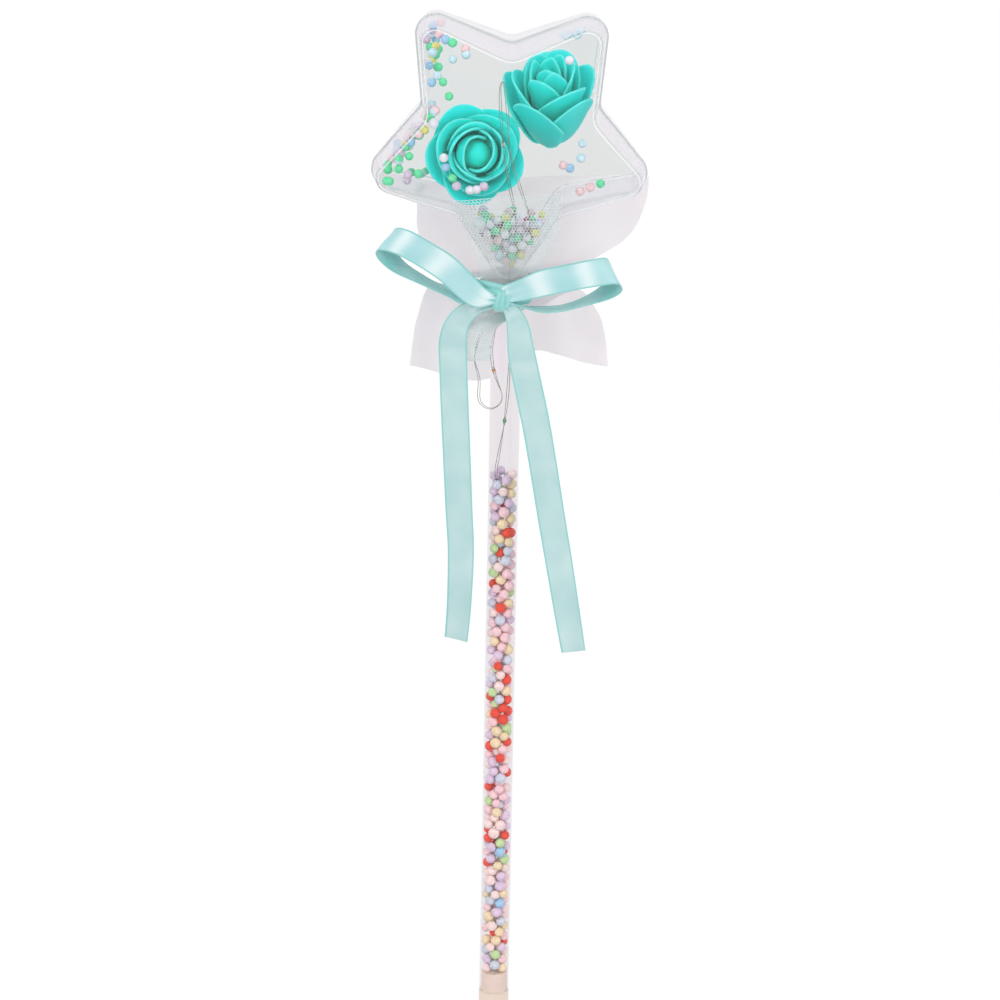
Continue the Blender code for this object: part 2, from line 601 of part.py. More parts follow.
def make_bud(name):
    """A rolled strip standing on a disc and post."""
    outer = BUD_INNER_R + BUD_PITCH * BUD_TURNS

    def roll(u, v):
        along = (u + 1) / 2
        angle = 2 * pi * BUD_TURNS * along
        height = BUD_HEIGHT * (0.80 + 0.20 * along)
        lift = (v + 1) / 2
        r = BUD_INNER_R + BUD_PITCH * BUD_TURNS * along + BUD_FLARE * lift ** 3
        return Vector((r * cos(angle), r * sin(angle), BUD_DISC_Z + BUD_DISC_THICK / 2 + height * lift))
    post = turned(name, [
        (0.0, BUD_DISC_Z + BUD_DISC_THICK), (outer + PETAL_THICK / 2, BUD_DISC_Z + BUD_DISC_THICK),
        (outer + PETAL_THICK / 2, BUD_DISC_Z), (ROSE_POST_R, BUD_DISC_Z),
        (ROSE_POST_R, BUD_DISC_Z - ROSE_POST_LENGTH), (0.0, BUD_DISC_Z - ROSE_POST_LENGTH)], ROSE_FOAM, sides=14)
    strip = draped(name + "_roll", roll, 12 * BUD_TURNS, 3, PETAL_THICK, ROSE_FOAM)
    strip.parent = post
    strip.hide_render = True
    strip.display_type = "WIRE"
    CUTTERS.objects.link(strip)
    PARTS.objects.unlink(strip)
    boolean(post, strip, "UNION")
    return post


# Loose beads that cling to the front shell: places across and up from the star's middle
FRONT_BEADS = [(-0.0262, 0.0270), (-0.0200, 0.0295), (-0.0150, 0.0225), (-0.0248, 0.0140), (-0.0400, -0.0150),
               (0.0238, -0.0010), (0.0262, -0.0140), (0.0190, -0.0085)]


def make_beads():
    y = -(FACE_Y - SEAT_GAP - BEAD_R)
    for i, (x, z) in enumerate(FRONT_BEADS):
        bm = bmesh.new()
        bmesh.ops.create_icosphere(bm, subdivisions=2, radius=BEAD_R, matrix=Matrix.Translation((x, y, STAR_Z + z)))
        add_object(f"loose_bead_{i + 1}", mesh_from(bm, "loose_bead"), BEAD_FOAM)


# Wraps: sections from top to bottom, each with its left and right ends, their heights, the depth at the
# middle and at the ends, the share of the gather round the collar, and the pleat depth
def wrap_surface(sections, gather_spread, pleats, back):
    def surface(u, v):
        left, right, z_left, z_right, y_mid, y_end, gather, pleat = blend_rows(sections, (1 - v) / 2)
        t = (u + 1) / 2
        flat = Vector((left + (right - left) * t, y_mid + (y_end - y_mid) * u * u,
                       z_left + (z_right - z_left) * t))
        flat.y += back * pleat * (1 - cos(2 * pi * pleats * t)) / 2
        a = radians(gather_spread) * u
        ring = Vector((GATHER_R * sin(a), back * GATHER_R * cos(a), flat.z))
        return flat.lerp(ring, min(max(gather, 0.0), 1.0))
    return surface


def make_wraps():
    star = STAR_Z
    shelf = SHELF_Z
    neck = COLLAR_BOTTOM_Z
    back = [
        (-0.0325, 0.0497, star - 0.0171, star - 0.0191, SHEET_Y, SHEET_Y, 0.0, 0.0012),
        (-0.0324, 0.0470, star - 0.0301, star - 0.0296, SHEET_Y, SHEET_Y, 0.0, 0.0014),
        (-0.0320, 0.0390, star - 0.0401, star - 0.0406, SHEET_Y, SHEET_Y, 0.0, 0.0012),
        (-0.0240, 0.0250, star - 0.0475, star - 0.0475, SHEET_Y, SHEET_Y, 0.0, 0.0006),
        (-0.0160, 0.0165, shelf, shelf, SHEET_Y, SHEET_Y, 0.0, 0.0),
        (-0.0110, 0.0110, shelf - 0.0006, shelf - 0.0006, 0.0150, 0.0080, 0.3, 0.0),
        (-0.0080, 0.0080, neck + 0.0078, neck + 0.0078, GATHER_R, 0.0, 1.0, 0.0),
        (-0.0080, 0.0080, neck - 0.0004, neck - 0.0004, GATHER_R, 0.0, 1.0, 0.0),
        (-0.0150, 0.0150, neck - 0.0030, neck - 0.0030, 0.0085, 0.0030, 0.4, 0.0),
        (-0.0300, 0.0300, neck - 0.0070, neck - 0.0065, 0.0090, 0.0050, 0.0, 0.0020),
        (-0.0335, 0.0348, neck - 0.0155, neck - 0.0145, 0.0090, 0.0050, 0.0, 0.0030),
        (-0.0344, 0.0363, neck - 0.0290, neck - 0.0270, 0.0090, 0.0050, 0.0, 0.0035)]
    draped("back_wrap", wrap_surface(back, 95.0, 4, 1), 16, 2 * (len(back) - 1), WRAP_THICK, WRAP_CLOTH)
    front = [
        (-0.0208, 0.0183, star - 0.0193, star - 0.0156, -SHEET_Y, -SHEET_Y, 0.0, 0.0004),
        (-0.0165, 0.0182, star - 0.0271, star - 0.0271, -SHEET_Y, -SHEET_Y, 0.0, 0.0008),
        (-0.0128, 0.0168, star - 0.0371, star - 0.0371, -SHEET_Y, -SHEET_Y, 0.0, 0.0008),
        (-0.0100, 0.0110, star - 0.0455, star - 0.0455, -SHEET_Y, -SHEET_Y, 0.0, 0.0004),
        (-0.0066, 0.0066, shelf, shelf, -SHEET_Y, -SHEET_Y, 0.0, 0.0),
        (-0.0060, 0.0060, shelf - 0.0002, shelf - 0.0002, -0.0150, -0.0120, 0.3, 0.0),
        (-0.0080, 0.0080, neck + 0.0078, neck + 0.0078, -GATHER_R, 0.0, 1.0, 0.0),
        (-0.0080, 0.0080, neck - 0.0004, neck - 0.0004, -GATHER_R, 0.0, 1.0, 0.0),
        (-0.0130, 0.0010, neck - 0.0035, neck - 0.0035, -0.0090, -0.0080, 0.3, 0.0),
        (-0.0180, -0.0040, neck - 0.0090, neck - 0.0090, -0.0100, -0.0096, 0.0, 0.0004),
        (-0.0180, -0.0057, neck - 0.0200, neck - 0.0197, -0.0100, -0.0096, 0.0, 0.0006)]
    draped("front_tulle", wrap_surface(front, 75.0, 3, -1), 12, 2 * (len(front) - 1), TULLE_THICK, TULLE_NET)


# Ribbon: band, knot, loops and tails
def make_band():
    outer = BAND_R + RIBBON_THICK
    turned("ribbon_neck_band", [
        (outer, BAND_Z + BAND_HEIGHT), (outer, BAND_Z), (BAND_R, BAND_Z), (BAND_R, BAND_Z + BAND_HEIGHT)],
        SATIN, closed=True)


def make_knot():
    half = [s / 2 for s in KNOT_SIZE]
    middle = (KNOT_SHIFT, KNOT_Y, KNOT_Z)
    low = [m - h for m, h in zip(middle, half)]
    high = [m + h for m, h in zip(middle, half)]
    box("ribbon_knot", low, high, SATIN, PARTS, bevel=KNOT_SIZE[1] / 3)


def pinched(t):
    """Share of the ribbon's width: drawn in at the knot, full a little way out."""
    edge = min(t / PINCH_REACH, 1.0)
    return PINCH_SHARE + (1 - PINCH_SHARE) * edge * edge * (3 - 2 * edge)


def make_loop(name, side, reach, rise, spread):
    out = Vector((side * cos(radians(rise)), 0.0, sin(radians(rise))))
    lift = Vector((0.0, -sin(radians(LOOP_TILT)), cos(radians(LOOP_TILT))))
    across = out.cross(lift).normalized()
    start = Vector((KNOT_SHIFT, KNOT_Y, KNOT_Z)) + out * (KNOT_SIZE[0] / 2 / cos(radians(rise)) + 2 * SEAT_GAP)
    apart = RIBBON_THICK + 2 * SEAT_GAP

    def surface(u, v):
        t = (u + 1) / 2
        centre = start + out * reach * sin(pi * t) + lift * (spread * sin(2 * pi * t) + apart * cos(pi * t))
        return centre + across * (v * RIBBON_WIDTH / 2 * pinched(2 * min(t, 1 - t)))
    draped(name, surface, 24, 2, RIBBON_THICK, SATIN)


def make_tail(name, path, depth):
    """path: places across from the axis at equal steps down from the knot."""
    top = KNOT_Z - KNOT_SIZE[2] / 2 - SEAT_GAP - RIBBON_THICK / 2

    def surface(u, v):
        t = (1 - v) / 2
        across = blend_rows([(x,) for x in path], t)[0]
        width = RIBBON_WIDTH * pinched(2.5 * t)
        y = KNOT_Y + depth + TAIL_SWAY * sin(2 * pi * t) * t + TAIL_TWIST * u * sin(3 * pi * t)
        return Vector((across + u * width / 2, y, top - TAIL_LENGTH * t))
    draped(name, surface, 2, 16, RIBBON_THICK, SATIN)


LEFT_TAIL_PATH = [-0.0060, -0.0125, -0.0172, -0.0178, -0.0170, -0.0160, -0.0153, -0.0149, -0.0157]
RIGHT_TAIL_PATH = [-0.0008, 0.0035, 0.0080, 0.0110, 0.0136, 0.0164, 0.0194, 0.0230, 0.0264]


def make_ribbon():
    make_band()
    make_knot()
    make_loop("ribbon_left_loop", -1, LEFT_LOOP_REACH, LEFT_LOOP_RISE, LEFT_LOOP_SPREAD)
    make_loop("ribbon_right_loop", 1, RIGHT_LOOP_REACH, RIGHT_LOOP_RISE, RIGHT_LOOP_SPREAD)
    make_tail("ribbon_left_tail", LEFT_TAIL_PATH, 0.0)
    make_tail("ribbon_right_tail", RIGHT_TAIL_PATH, -RIBBON_THICK - 2 * SEAT_GAP)


make_tail_cap()
make_push_button()
make_switch_module()
make_battery_case()
make_cells()
make_tube()
make_bead_column()
make_led_string()
make_star_shell("star_front_shell", -1)
make_star_shell("star_back_shell", 1)
make_rose("left_rose", LEFT_ROSE_PLACE, LEFT_ROSE_FACING, LEFT_ROSE_SPIN)
make_rose("right_rose", RIGHT_ROSE_PLACE, RIGHT_ROSE_FACING, RIGHT_ROSE_SPIN)
make_beads()
make_wraps()
make_ribbon()
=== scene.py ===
"""LED flower light stick: a clear star of foam roses on a bead-filled tube, tied with a satin bow.

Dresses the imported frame. Metres, +Z up along the tube; the star's front faces -Y.
"""

from math import atan2, ceil, cos, hypot, pi, radians, sin, sqrt
from random import Random

import bmesh
import bpy
from bpy.props import FloatProperty, FloatVectorProperty, PointerProperty
from mathutils import Matrix, Quaternion, Vector, noise


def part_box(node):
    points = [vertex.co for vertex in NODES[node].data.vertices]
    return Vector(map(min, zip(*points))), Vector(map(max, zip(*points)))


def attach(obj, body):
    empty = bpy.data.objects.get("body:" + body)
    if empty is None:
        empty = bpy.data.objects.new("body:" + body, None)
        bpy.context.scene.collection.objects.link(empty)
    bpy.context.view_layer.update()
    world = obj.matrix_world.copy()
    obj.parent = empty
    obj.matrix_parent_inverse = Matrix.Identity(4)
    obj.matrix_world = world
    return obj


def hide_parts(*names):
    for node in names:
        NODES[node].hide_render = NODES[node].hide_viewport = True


bl_info = {
    "name": "LED flower light stick",
    "version": (1, 0, 0),
    "blender": (4, 5, 0),
    "location": "View3D > Sidebar > Light stick",
    "description": "Dresses the light stick: clear star, foam roses, beads, wraps and satin bow",
    "category": "Add Mesh",
}

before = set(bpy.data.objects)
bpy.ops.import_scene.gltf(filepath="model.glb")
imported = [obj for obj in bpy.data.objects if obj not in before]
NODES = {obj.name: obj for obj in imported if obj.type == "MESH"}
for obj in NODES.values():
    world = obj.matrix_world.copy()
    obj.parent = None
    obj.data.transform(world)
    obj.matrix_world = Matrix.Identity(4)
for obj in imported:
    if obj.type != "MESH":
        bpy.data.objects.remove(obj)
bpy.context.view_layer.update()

# Clearance between parts that fit together
GAP = 0.0003

# Heights that the frame gives
NECK_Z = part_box("star_front_shell")[0][2]
TUBE_BOTTOM_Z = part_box("stick_tube")[0][2]
TUBE_TOP_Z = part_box("stick_tube")[1][2]
CASE_TOP_Z = TUBE_BOTTOM_Z - GAP
PLUG_TOP_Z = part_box("battery_case")[1][2]
COLUMN_TOP_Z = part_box("tube_bead_column")[1][2]
TUBE_LED_Z = (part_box("tube_led")[0][2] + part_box("tube_led")[1][2]) / 2
BAND_LOW_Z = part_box("ribbon_neck_band")[0][2]
BAND_HIGH_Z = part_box("ribbon_neck_band")[1][2]
KNOT_LOW = Vector(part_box("ribbon_knot")[0])
KNOT_HIGH = Vector(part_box("ribbon_knot")[1])
KNOT_MIDDLE = (KNOT_LOW + KNOT_HIGH) / 2

# Tube, and the wire's place in it
TUBE_R = 0.0055
TUBE_WALL = 0.0004
TUBE_BORE_R = TUBE_R - TUBE_WALL
WIRE_OFFSET = 0.0033

# Star: its outline, draft and seam, and the thinning of its arms
STAR_POINTS = 5
STAR_TIP_R = 0.0573
STAR_NOTCH_R = 0.0325
STAR_TIP_FILLET = 0.0070
STAR_NOTCH_FILLET = 0.0060
STAR_HALF_DEPTH = 0.0200
STAR_DRAFT = 0.0013
STAR_EDGE_R = 0.0018
TAPER_START = 0.028
TAPER_REACH = 0.023
TIP_THINNING = 0.32
UPPER_ARM_SPREAD = 0.62
STAR_SPACING = 2 * pi / STAR_POINTS
TIP_HALF_ANGLE = atan2(STAR_NOTCH_R * sin(STAR_SPACING / 2),
                       STAR_TIP_R - STAR_NOTCH_R * cos(STAR_SPACING / 2))
EDGE_TURN = pi / 2 - TIP_HALF_ANGLE
TIP_CENTRE_R = STAR_TIP_R - STAR_TIP_FILLET / sin(TIP_HALF_ANGLE)
NOTCH_CENTRE_R = STAR_NOTCH_R + STAR_NOTCH_FILLET / cos(EDGE_TURN - STAR_SPACING / 2)
COLLAR_WALL = 0.0018
COLLAR_R = TUBE_R + COLLAR_WALL
COLLAR_BELOW_TIP = 0.0100
STAR_TIP_Z = NECK_Z + COLLAR_BELOW_TIP
STAR_Z = STAR_TIP_Z + TIP_CENTRE_R + STAR_TIP_FILLET
SEAM_LIP = 0.0004
SEAM_LIP_WIDTH = 0.0011

# Roses: post, bud, petals, and where they sit in the star
POST_R = 0.0024
POST_LENGTH = 0.0114
RIM_HEIGHT = 0.0058
BUD_R = 0.0036
BUD_Z = 0.0030
BUD_TOP_Z = 0.0104
BUD_FOOT = 0.0012
BUD_NECK = 0.0020
PETAL_TUCK = 0.0017
PETAL_CURL = 0.0007
PETAL_RIPPLE = 0.0009
PETAL_CELLS = (24, 18)
CURL_START = 0.75
SEED_STEP = 7.3
# Petal rings: count, half-spread, offset, rounding, then (radius, height) control points in millimetres
PETALS = {
    "heart": (2, 104.0, 70.0, 0.34, ((2.2, 3.0), (5.4, 4.0), (5.4, 8.4), (3.3, 11.8))),
    "bud": (3, 78.0, 40.0, 0.50, ((2.8, 1.6), (7.6, 1.8), (6.9, 7.4), (6.0, 12.2))),
    "inner": (3, 82.0, 0.0, 0.50, ((2.8, 0.2), (10.0, -0.4), (6.8, 6.0), (9.0, 11.0))),
    "middle": (3, 84.0, 62.0, 0.52, ((2.8, -2.6), (12.0, -3.4), (9.4, 4.4), (13.8, 8.2))),
    "outer": (5, 50.0, 20.0, 0.42, ((2.8, -5.2), (13.6, -5.8), (13.0, 1.8), (17.9, 4.4)))}
# Each rose: place of its rim, facing, spin, millimetres that its cups are deeper than the rings,
# and the girth of each ring from the heart out
ROSES = {
    "left_rose": (
        (-0.0116, -0.0090, -0.0052), (0.14, -0.94, 0.30), 100.0, 0.0, (1.45, 1.36, 1.15, 1.06, 1.0)),
    "right_rose": (
        (0.0135, -0.0016, 0.0194), (-0.03, -0.42, 0.91), 5.0, 14.0, (1.06, 1.06, 1.08, 1.10, 1.07))}
# What each millimetre of cup does: how far it lowers each control point, and how it draws in bowl and rim
CUP_SHARES = (1.0, 1.0, 0.35, -0.15)
CUP_NARROWING = 0.030
CUP_CLOSING = 0.012

# Cloth
GATHER_R = COLLAR_R + 0.0008
SHEET_CLEARANCE = 0.0008
SHELF_Z = STAR_TIP_Z - 0.00075
BAND_R = GATHER_R + 0.00055
BAND_THICK = 0.0006
# Bow rows in millimetres: the ribbon's middle, the way to its upper edge, and the share of its width
LOOPS = {
    "ribbon_left_loop": (
        (-3.6, -14.4, 303.8, 0.25, -0.10, 0.95, 0.38), (-10.4, -16.4, 305.6, 0.60, -0.06, 0.80, 0.86),
        (-21.0, -17.2, 315.5, 0.58, -0.05, 0.81, 1.0), (-29.0, -17.6, 320.9, 0.50, -0.05, 0.86, 1.0),
        (-37.0, -16.6, 324.9, 0.52, 0.05, 0.85, 1.0), (-42.6, -13.2, 325.0, 0.62, 0.30, 0.72, 1.0),
        (-43.2, -10.6, 320.8, 0.50, 0.70, 0.50, 1.0), (-39.2, -10.4, 315.0, 0.25, 0.93, 0.25, 1.0),
        (-31.8, -10.8, 310.6, 0.05, 0.96, 0.10, 1.0), (-21.5, -11.4, 306.2, 0.00, 0.96, 0.12, 0.95),
        (-11.4, -14.9, 307.2, 0.15, 0.0, 0.99, 0.88), (-0.8, -14.2, 306.2, 0.10, 0.0, 0.99, 0.60)),
    "ribbon_right_loop": (
        (-1.6, -14.2, 305.8, -0.15, -0.10, 0.97, 0.62), (5.2, -16.0, 308.2, -0.28, -0.08, 0.95, 0.80),
        (12.0, -17.0, 310.9, -0.20, -0.05, 0.98, 1.0), (20.0, -17.6, 313.0, -0.18, -0.03, 0.98, 1.0),
        (29.0, -17.4, 315.0, -0.20, 0.05, 0.97, 1.0), (36.6, -14.6, 315.2, -0.40, 0.25, 0.88, 1.0),
        (38.2, -11.2, 311.0, -0.45, 0.65, 0.60, 1.0), (35.0, -10.4, 306.4, -0.25, 0.93, 0.25, 1.0),
        (28.0, -10.6, 302.9, -0.05, 0.98, 0.05, 1.0), (19.5, -11.2, 300.3, 0.00, 0.98, -0.05, 1.0),
        (11.0, -11.8, 299.9, 0.00, 0.95, -0.10, 0.85), (1.0, -12.6, 302.0, -0.10, 0.80, -0.50, 0.50))}
# Tail rows in millimetres: across, below the knot, share of the width, and degrees of twist; then the depth
TAILS = {
    "ribbon_left_tail": ((
        (-5.5, 0.0, 0.50, 0.0), (-11.5, 2.0, 0.62, 0.0), (-16.6, 7.0, 0.85, 10.0), (-18.8, 14.2, 1.0, 12.0),
        (-18.5, 25.5, 1.0, 5.0), (-17.8, 40.0, 1.0, 8.0), (-16.6, 61.7, 1.0, 14.0), (-15.7, 78.0, 1.0, 18.0),
        (-14.8, 93.1, 1.0, 22.0), (-15.1, 113.0, 1.0, 30.0), (-16.0, 127.2, 1.0, 36.0)), -0.0122, 0.35),
    "ribbon_right_tail": ((
        (-0.5, 0.0, 0.40, 0.0), (2.0, 3.2, 0.58, 10.0), (4.1, 8.9, 0.80, 10.0), (5.5, 18.5, 0.97, 8.0),
        (7.5, 27.9, 1.0, 0.0), (11.2, 44.5, 1.0, 8.0), (14.2, 60.7, 1.0, 12.0), (17.0, 77.0, 1.0, 14.0),
        (19.7, 92.1, 1.0, 16.0), (23.2, 112.0, 1.0, 22.0), (26.4, 130.3, 1.0, 30.0)), -0.0140, 0.22)}
KNOT_SHIFT = Vector((0.0014, 0.0, 0.0014))
KNOT_HALF_WIDTH = 0.0031
KNOT_LENGTH = 0.024
BAND_LENGTH = 0.058

# Camera at the photograph's angle
CAMERA_AIM = (-0.0011, 0.0, 0.2246)
CAMERA_DISTANCE = 2.0
CAMERA_ELEVATION = 18.5
CAMERA_ROLL = 1.08
CAMERA_LENS = 200.0

# Light: how bright the paper and the world look through clear plastic and through thin cloth
SEEN_THROUGH_PLASTIC = 0.82
SEEN_THROUGH_CLOTH = 1.0
# Painted light: an emission added to the cloth where it is seen through the star's two walls, giving back the
# light they take from it
PAINTED_GLOW_BEHIND_PLASTIC = 0.12
WORLD_LIGHT = 0.86
CLEAR_IOR = 1.004
COAT_IOR = 1.3
# Lamps: place, size and power
LAMPS = {
    "key_softbox": ((-0.9, -1.3, 1.5), 0.8, 6.8),
    "fill_softbox": ((1.3, -1.2, 0.7), 0.8, 3.6),
    "top_softbox": ((0.1, 0.5, 1.7), 1.2, 2.5)}
LAMP_AIM = (0.0, 0.0, 0.30)
FLOOR_SIZE = 30.0


# Step either side of a place, as a share of a curve's length, for the way the curve runs there
RUN_STEP = 0.01


def linear(hex_code):
    """An sRGB hex colour as linear red, green and blue."""
    parts = [int(hex_code[i:i + 2], 16) / 255 for i in (1, 3, 5)]
    return tuple(p / 12.92 if p <= 0.04045 else ((p + 0.055) / 1.055) ** 2.4 for p in parts)


def length_prop(name, description, default):
    return FloatProperty(name=name, description=description, default=default, unit="LENGTH", precision=5)


def colour_prop(name, description, hex_code):
    return FloatVectorProperty(name=name, description=description, default=linear(hex_code), subtype="COLOR",
                               min=0.0, max=1.0)


class LightStickSizes(bpy.types.PropertyGroup):
    star_wall: length_prop("Star wall", "Wall of the clear shells", 0.0011)
    petal: length_prop("Petal", "Thickness of a foam petal", 0.0009)
    bead_small: length_prop("Smallest bead", "Radius of the smallest foam bead", 0.00150)
    bead_large: length_prop("Largest bead", "Radius of the largest foam bead", 0.00205)
    ribbon_width: length_prop("Ribbon width", "Width of the satin ribbon", 0.0100)
    ribbon: length_prop("Ribbon", "Thickness of the satin ribbon", 0.0003)
    wrap: length_prop("Wrap", "Thickness of the nonwoven wrap", 0.0003)
    net_cell: length_prop("Net cell", "Width of a cell of the tulle", 0.00125)
    net_strand: length_prop("Net strand", "Thickness of a strand of the tulle", 0.00026)
    wire_strand: length_prop("Wire strand", "Radius of a strand of the LED wire", 0.00011)


class LightStickColours(bpy.types.PropertyGroup):
    shell: colour_prop("Star plastic", "Tint of the clear star", "#F9FAFA")
    tube: colour_prop("Tube plastic", "Tint of the clear tube", "#FDFAFC")
    rose: colour_prop("Rose", "Foam petals", "#1FF0E3")
    # Painted shade: a darker copy of the foam for the petals low in the folds
    rose_painted_shade: colour_prop("Rose folds", "Foam petals low in the folds", "#17E8D9")
    # Painted highlight: a paler copy of the foam for the petals' thin rims
    rose_painted_highlight: colour_prop("Rose rims", "Thin rims of the petals", "#62F8EE")
    ribbon: colour_prop("Ribbon", "Face of the satin ribbon", "#AED3D3")
    # Painted light: a copy of the ribbon's face for the loops, brightened where the bow faces the light
    ribbon_painted_bright: colour_prop("Bow", "Face of the ribbon where the bow lifts it to the light", "#A0D6DA")
    # The satin's duller back, also made darker as painted shade for the insides of the loops and the knot
    ribbon_back_painted_shade: colour_prop("Ribbon back", "Duller back of the satin ribbon", "#86D3D0")
    ribbon_edge: colour_prop("Ribbon edge", "Woven edge of the ribbon", "#8ECDCA")
    wrap: colour_prop("Wrap", "Nonwoven wrap", "#FBF8FA")
    net: colour_prop("Tulle", "Strands of the tulle", "#E4EFEF")
    white: colour_prop("Plug plastic", "Plug, battery case and tail cap", "#E8D5C7")


# Bead colours, and their shares in the tube, in the star and in its heap
BEAD_COLOURS = {
    "lavender": "#E2CDE3", "pale_blue": "#D3DAE7", "pink": "#F8D3D8", "blush": "#FAE3DE", "cream": "#F3E0B8",
    "green": "#C6E4A6", "red": "#EE4A33", "blue": "#A5CFEE", "leaf": "#6FE8AC", "sky": "#CFEBF5",
    "pearl": "#F2EDF7", "yellow": "#EDE58A", "magenta": "#A8356F"}
TUBE_MIX = {
    "lavender": 17, "pale_blue": 19, "pink": 22, "blush": 22, "cream": 10, "green": 8, "red": 7, "blue": 2}
PALE_MIX = {"sky": 60, "pearl": 40}
STAR_MIX = {"leaf": 34, "sky": 28, "pink": 15, "lavender": 10, "blue": 7, "pearl": 6, "yellow": 3}
HEAP_MIX = {"leaf": 26, "yellow": 16, "pearl": 26, "pink": 12, "magenta": 6, "sky": 12, "lavender": 10}


def sizes():
    return bpy.context.scene.light_stick_sizes


def colours():
    return bpy.context.scene.light_stick_colours


# Materials
def node(mat, kind, links=None, **settings):
    """Add a shader node; links maps its inputs to values or to other nodes' outputs."""
    made = mat.node_tree.nodes.new(kind)
    for key, value in settings.items():
        setattr(made, key, value)
    for key, value in (links or {}).items():
        if isinstance(value, bpy.types.NodeSocket):
            mat.node_tree.links.new(value, made.inputs[key])
        else:
            made.inputs[key].default_value = value
    return made


def link(mat, output, socket):
    mat.node_tree.links.new(output, socket)


def maths(mat, operation, *values):
    """The result of a math node."""
    return node(mat, "ShaderNodeMath", dict(enumerate(values)), operation=operation).outputs["Value"]


def object_place(mat):
    return node(mat, "ShaderNodeTexCoord").outputs["Object"]


def speckle(mat, place, scale, detail):
    """The value of a noise texture."""
    made = node(mat, "ShaderNodeTexNoise", {"Vector": place, "Scale": scale, "Detail": detail})
    return made.outputs["Fac"]


def wave(mat, place, scale, distortion, detail, **sockets):
    """The value of a wave texture whose bands lie across the second coordinate."""
    inputs = {"Vector": place, "Scale": scale, "Distortion": distortion, "Detail": detail}
    for key, value in sockets.items():
        inputs[key.replace("_", " ")] = value
    return node(mat, "ShaderNodeTexWave", inputs, bands_direction="Y").outputs["Fac"]


def colour_ramp(mat, value, stops):
    """The colour of a ramp; stops are (position, colour) from low to high."""
    made = node(mat, "ShaderNodeValToRGB", {"Fac": value})
    elements = made.color_ramp.elements
    for i, (at, colour) in enumerate(stops):
        stop = elements[i] if i < 2 else elements.new(at)
        stop.position = at
        stop.color = (*colour, 1.0)
    return made.outputs["Color"]


def colour_mix(mat, factor, first, second):
    """A colour between two."""
    made = node(mat, "ShaderNodeMix", {"Factor": factor, "A": first, "B": second}, data_type="RGBA")
    return made.outputs["Result"]


def bump(mat, shader, height, strength, distance):
    made = node(mat, "ShaderNodeBump", {"Height": height, "Strength": strength, "Distance": distance})
    link(mat, made.outputs["Normal"], shader.inputs["Normal"])


def roughen(mat, shader, value, low, high):
    """Let a texture's value set the roughness between two levels."""
    made = node(mat, "ShaderNodeMapRange", {"Value": value, "To Min": low, "To Max": high})
    link(mat, made.outputs["Result"], shader.inputs["Roughness"])


def show(mat, output):
    """Make a shader the material's surface."""
    link(mat, output, mat.node_tree.nodes["Material Output"].inputs["Surface"])


def plain_material(name, roughness, **sockets):
    mat = bpy.data.materials.new(name)
    mat.use_nodes = True
    shader = mat.node_tree.nodes["Principled BSDF"]
    shader.inputs["Roughness"].default_value = roughness
    for key, value in sockets.items():
        shader.inputs[key.replace("_", " ")].default_value = value
    return mat, shader


def per_mm(size):
    """Texture scale that gives features of that many millimetres in object space."""
    return 1000.0 / size


def shade(colour, amount):
    return tuple(min(c * amount, 1.0) for c in colour)


def mottled(mat, shader, first, second, grain):
    """Vary the base colour between two colours over a grain in millimetres; the object's place comes back."""
    place = object_place(mat)
    spots = speckle(mat, place, per_mm(grain), 3.0)
    link(mat, colour_ramp(mat, spots, ((0.3, first), (0.7, second))), shader.inputs["Base Color"])
    return place


def moulded_polystyrene(name, tint):
    """Injection-moulded clear polystyrene: glassy, with faint flow marks."""
    # The wall is drawn almost without refraction, so that its edges stay light; the coat gives the gloss
    mat, shader = plain_material(name, 0.02, Transmission_Weight=1.0, IOR=CLEAR_IOR, Coat_Weight=1.0,
                                 Coat_Roughness=0.04, Coat_IOR=COAT_IOR, Base_Color=(*tint, 1.0))
    bump(mat, shader, speckle(mat, object_place(mat), per_mm(14.0), 1.0), 0.06, 0.0006)
    return mat


def painted_light_edge(name, hex_code, clear):
    """Painted light on a moulded edge: milkier than the clear wall beside it, its colour paints the light and
    shade that the edge shows.
    """
    mat, shader = plain_material(name, 0.25, Transmission_Weight=clear, IOR=CLEAR_IOR, Coat_Weight=1.0,
                                 Coat_Roughness=0.1, Coat_IOR=COAT_IOR)
    mottled(mat, shader, shade(linear(hex_code), 0.97), linear(hex_code), 5.0)
    return mat


def eva_foam():
    """Moulded EVA foam: satin, with painted shade low in the folds and a painted highlight on the thin rims
    of the petals.
    """
    c = colours()
    mat, shader = plain_material("eva_foam_turquoise", 0.42, Specular_IOR_Level=0.25, Subsurface_Weight=0.70,
                                 Subsurface_Radius=(0.0012, 0.0060, 0.0060), Subsurface_Scale=1.0)
    uv = node(mat, "ShaderNodeUVMap", uv_map="petal").outputs["UV"]
    up = node(mat, "ShaderNodeSeparateXYZ", {"Vector": uv}).outputs["Y"]
    # Painted shade low on each petal, toward the folds, and a painted highlight at its rim
    stops = ((0.35, c.rose_painted_shade), (0.80, c.rose), (0.955, c.rose), (0.99, c.rose_painted_highlight))
    link(mat, colour_ramp(mat, up, stops), shader.inputs["Base Color"])
    cells = speckle(mat, object_place(mat), per_mm(0.9), 4.0)
    roughen(mat, shader, cells, 0.34, 0.52)
    bump(mat, shader, cells, 0.10, 0.0002)
    return mat


def bead_foam(name):
    """Expanded polystyrene bead: matte, dyed, with the faint cells of the foam."""
    colour = linear(BEAD_COLOURS[name])
    mat, shader = plain_material("polystyrene_bead_" + name, 0.55, Specular_IOR_Level=0.3)
    place = mottled(mat, shader, shade(colour, 0.90), shade(colour, 1.06), 1.2)
    cells = node(mat, "ShaderNodeTexVoronoi", {"Vector": place, "Scale": per_mm(0.45)})
    bump(mat, shader, cells.outputs["Distance"], 0.15, 0.0002)
    return mat


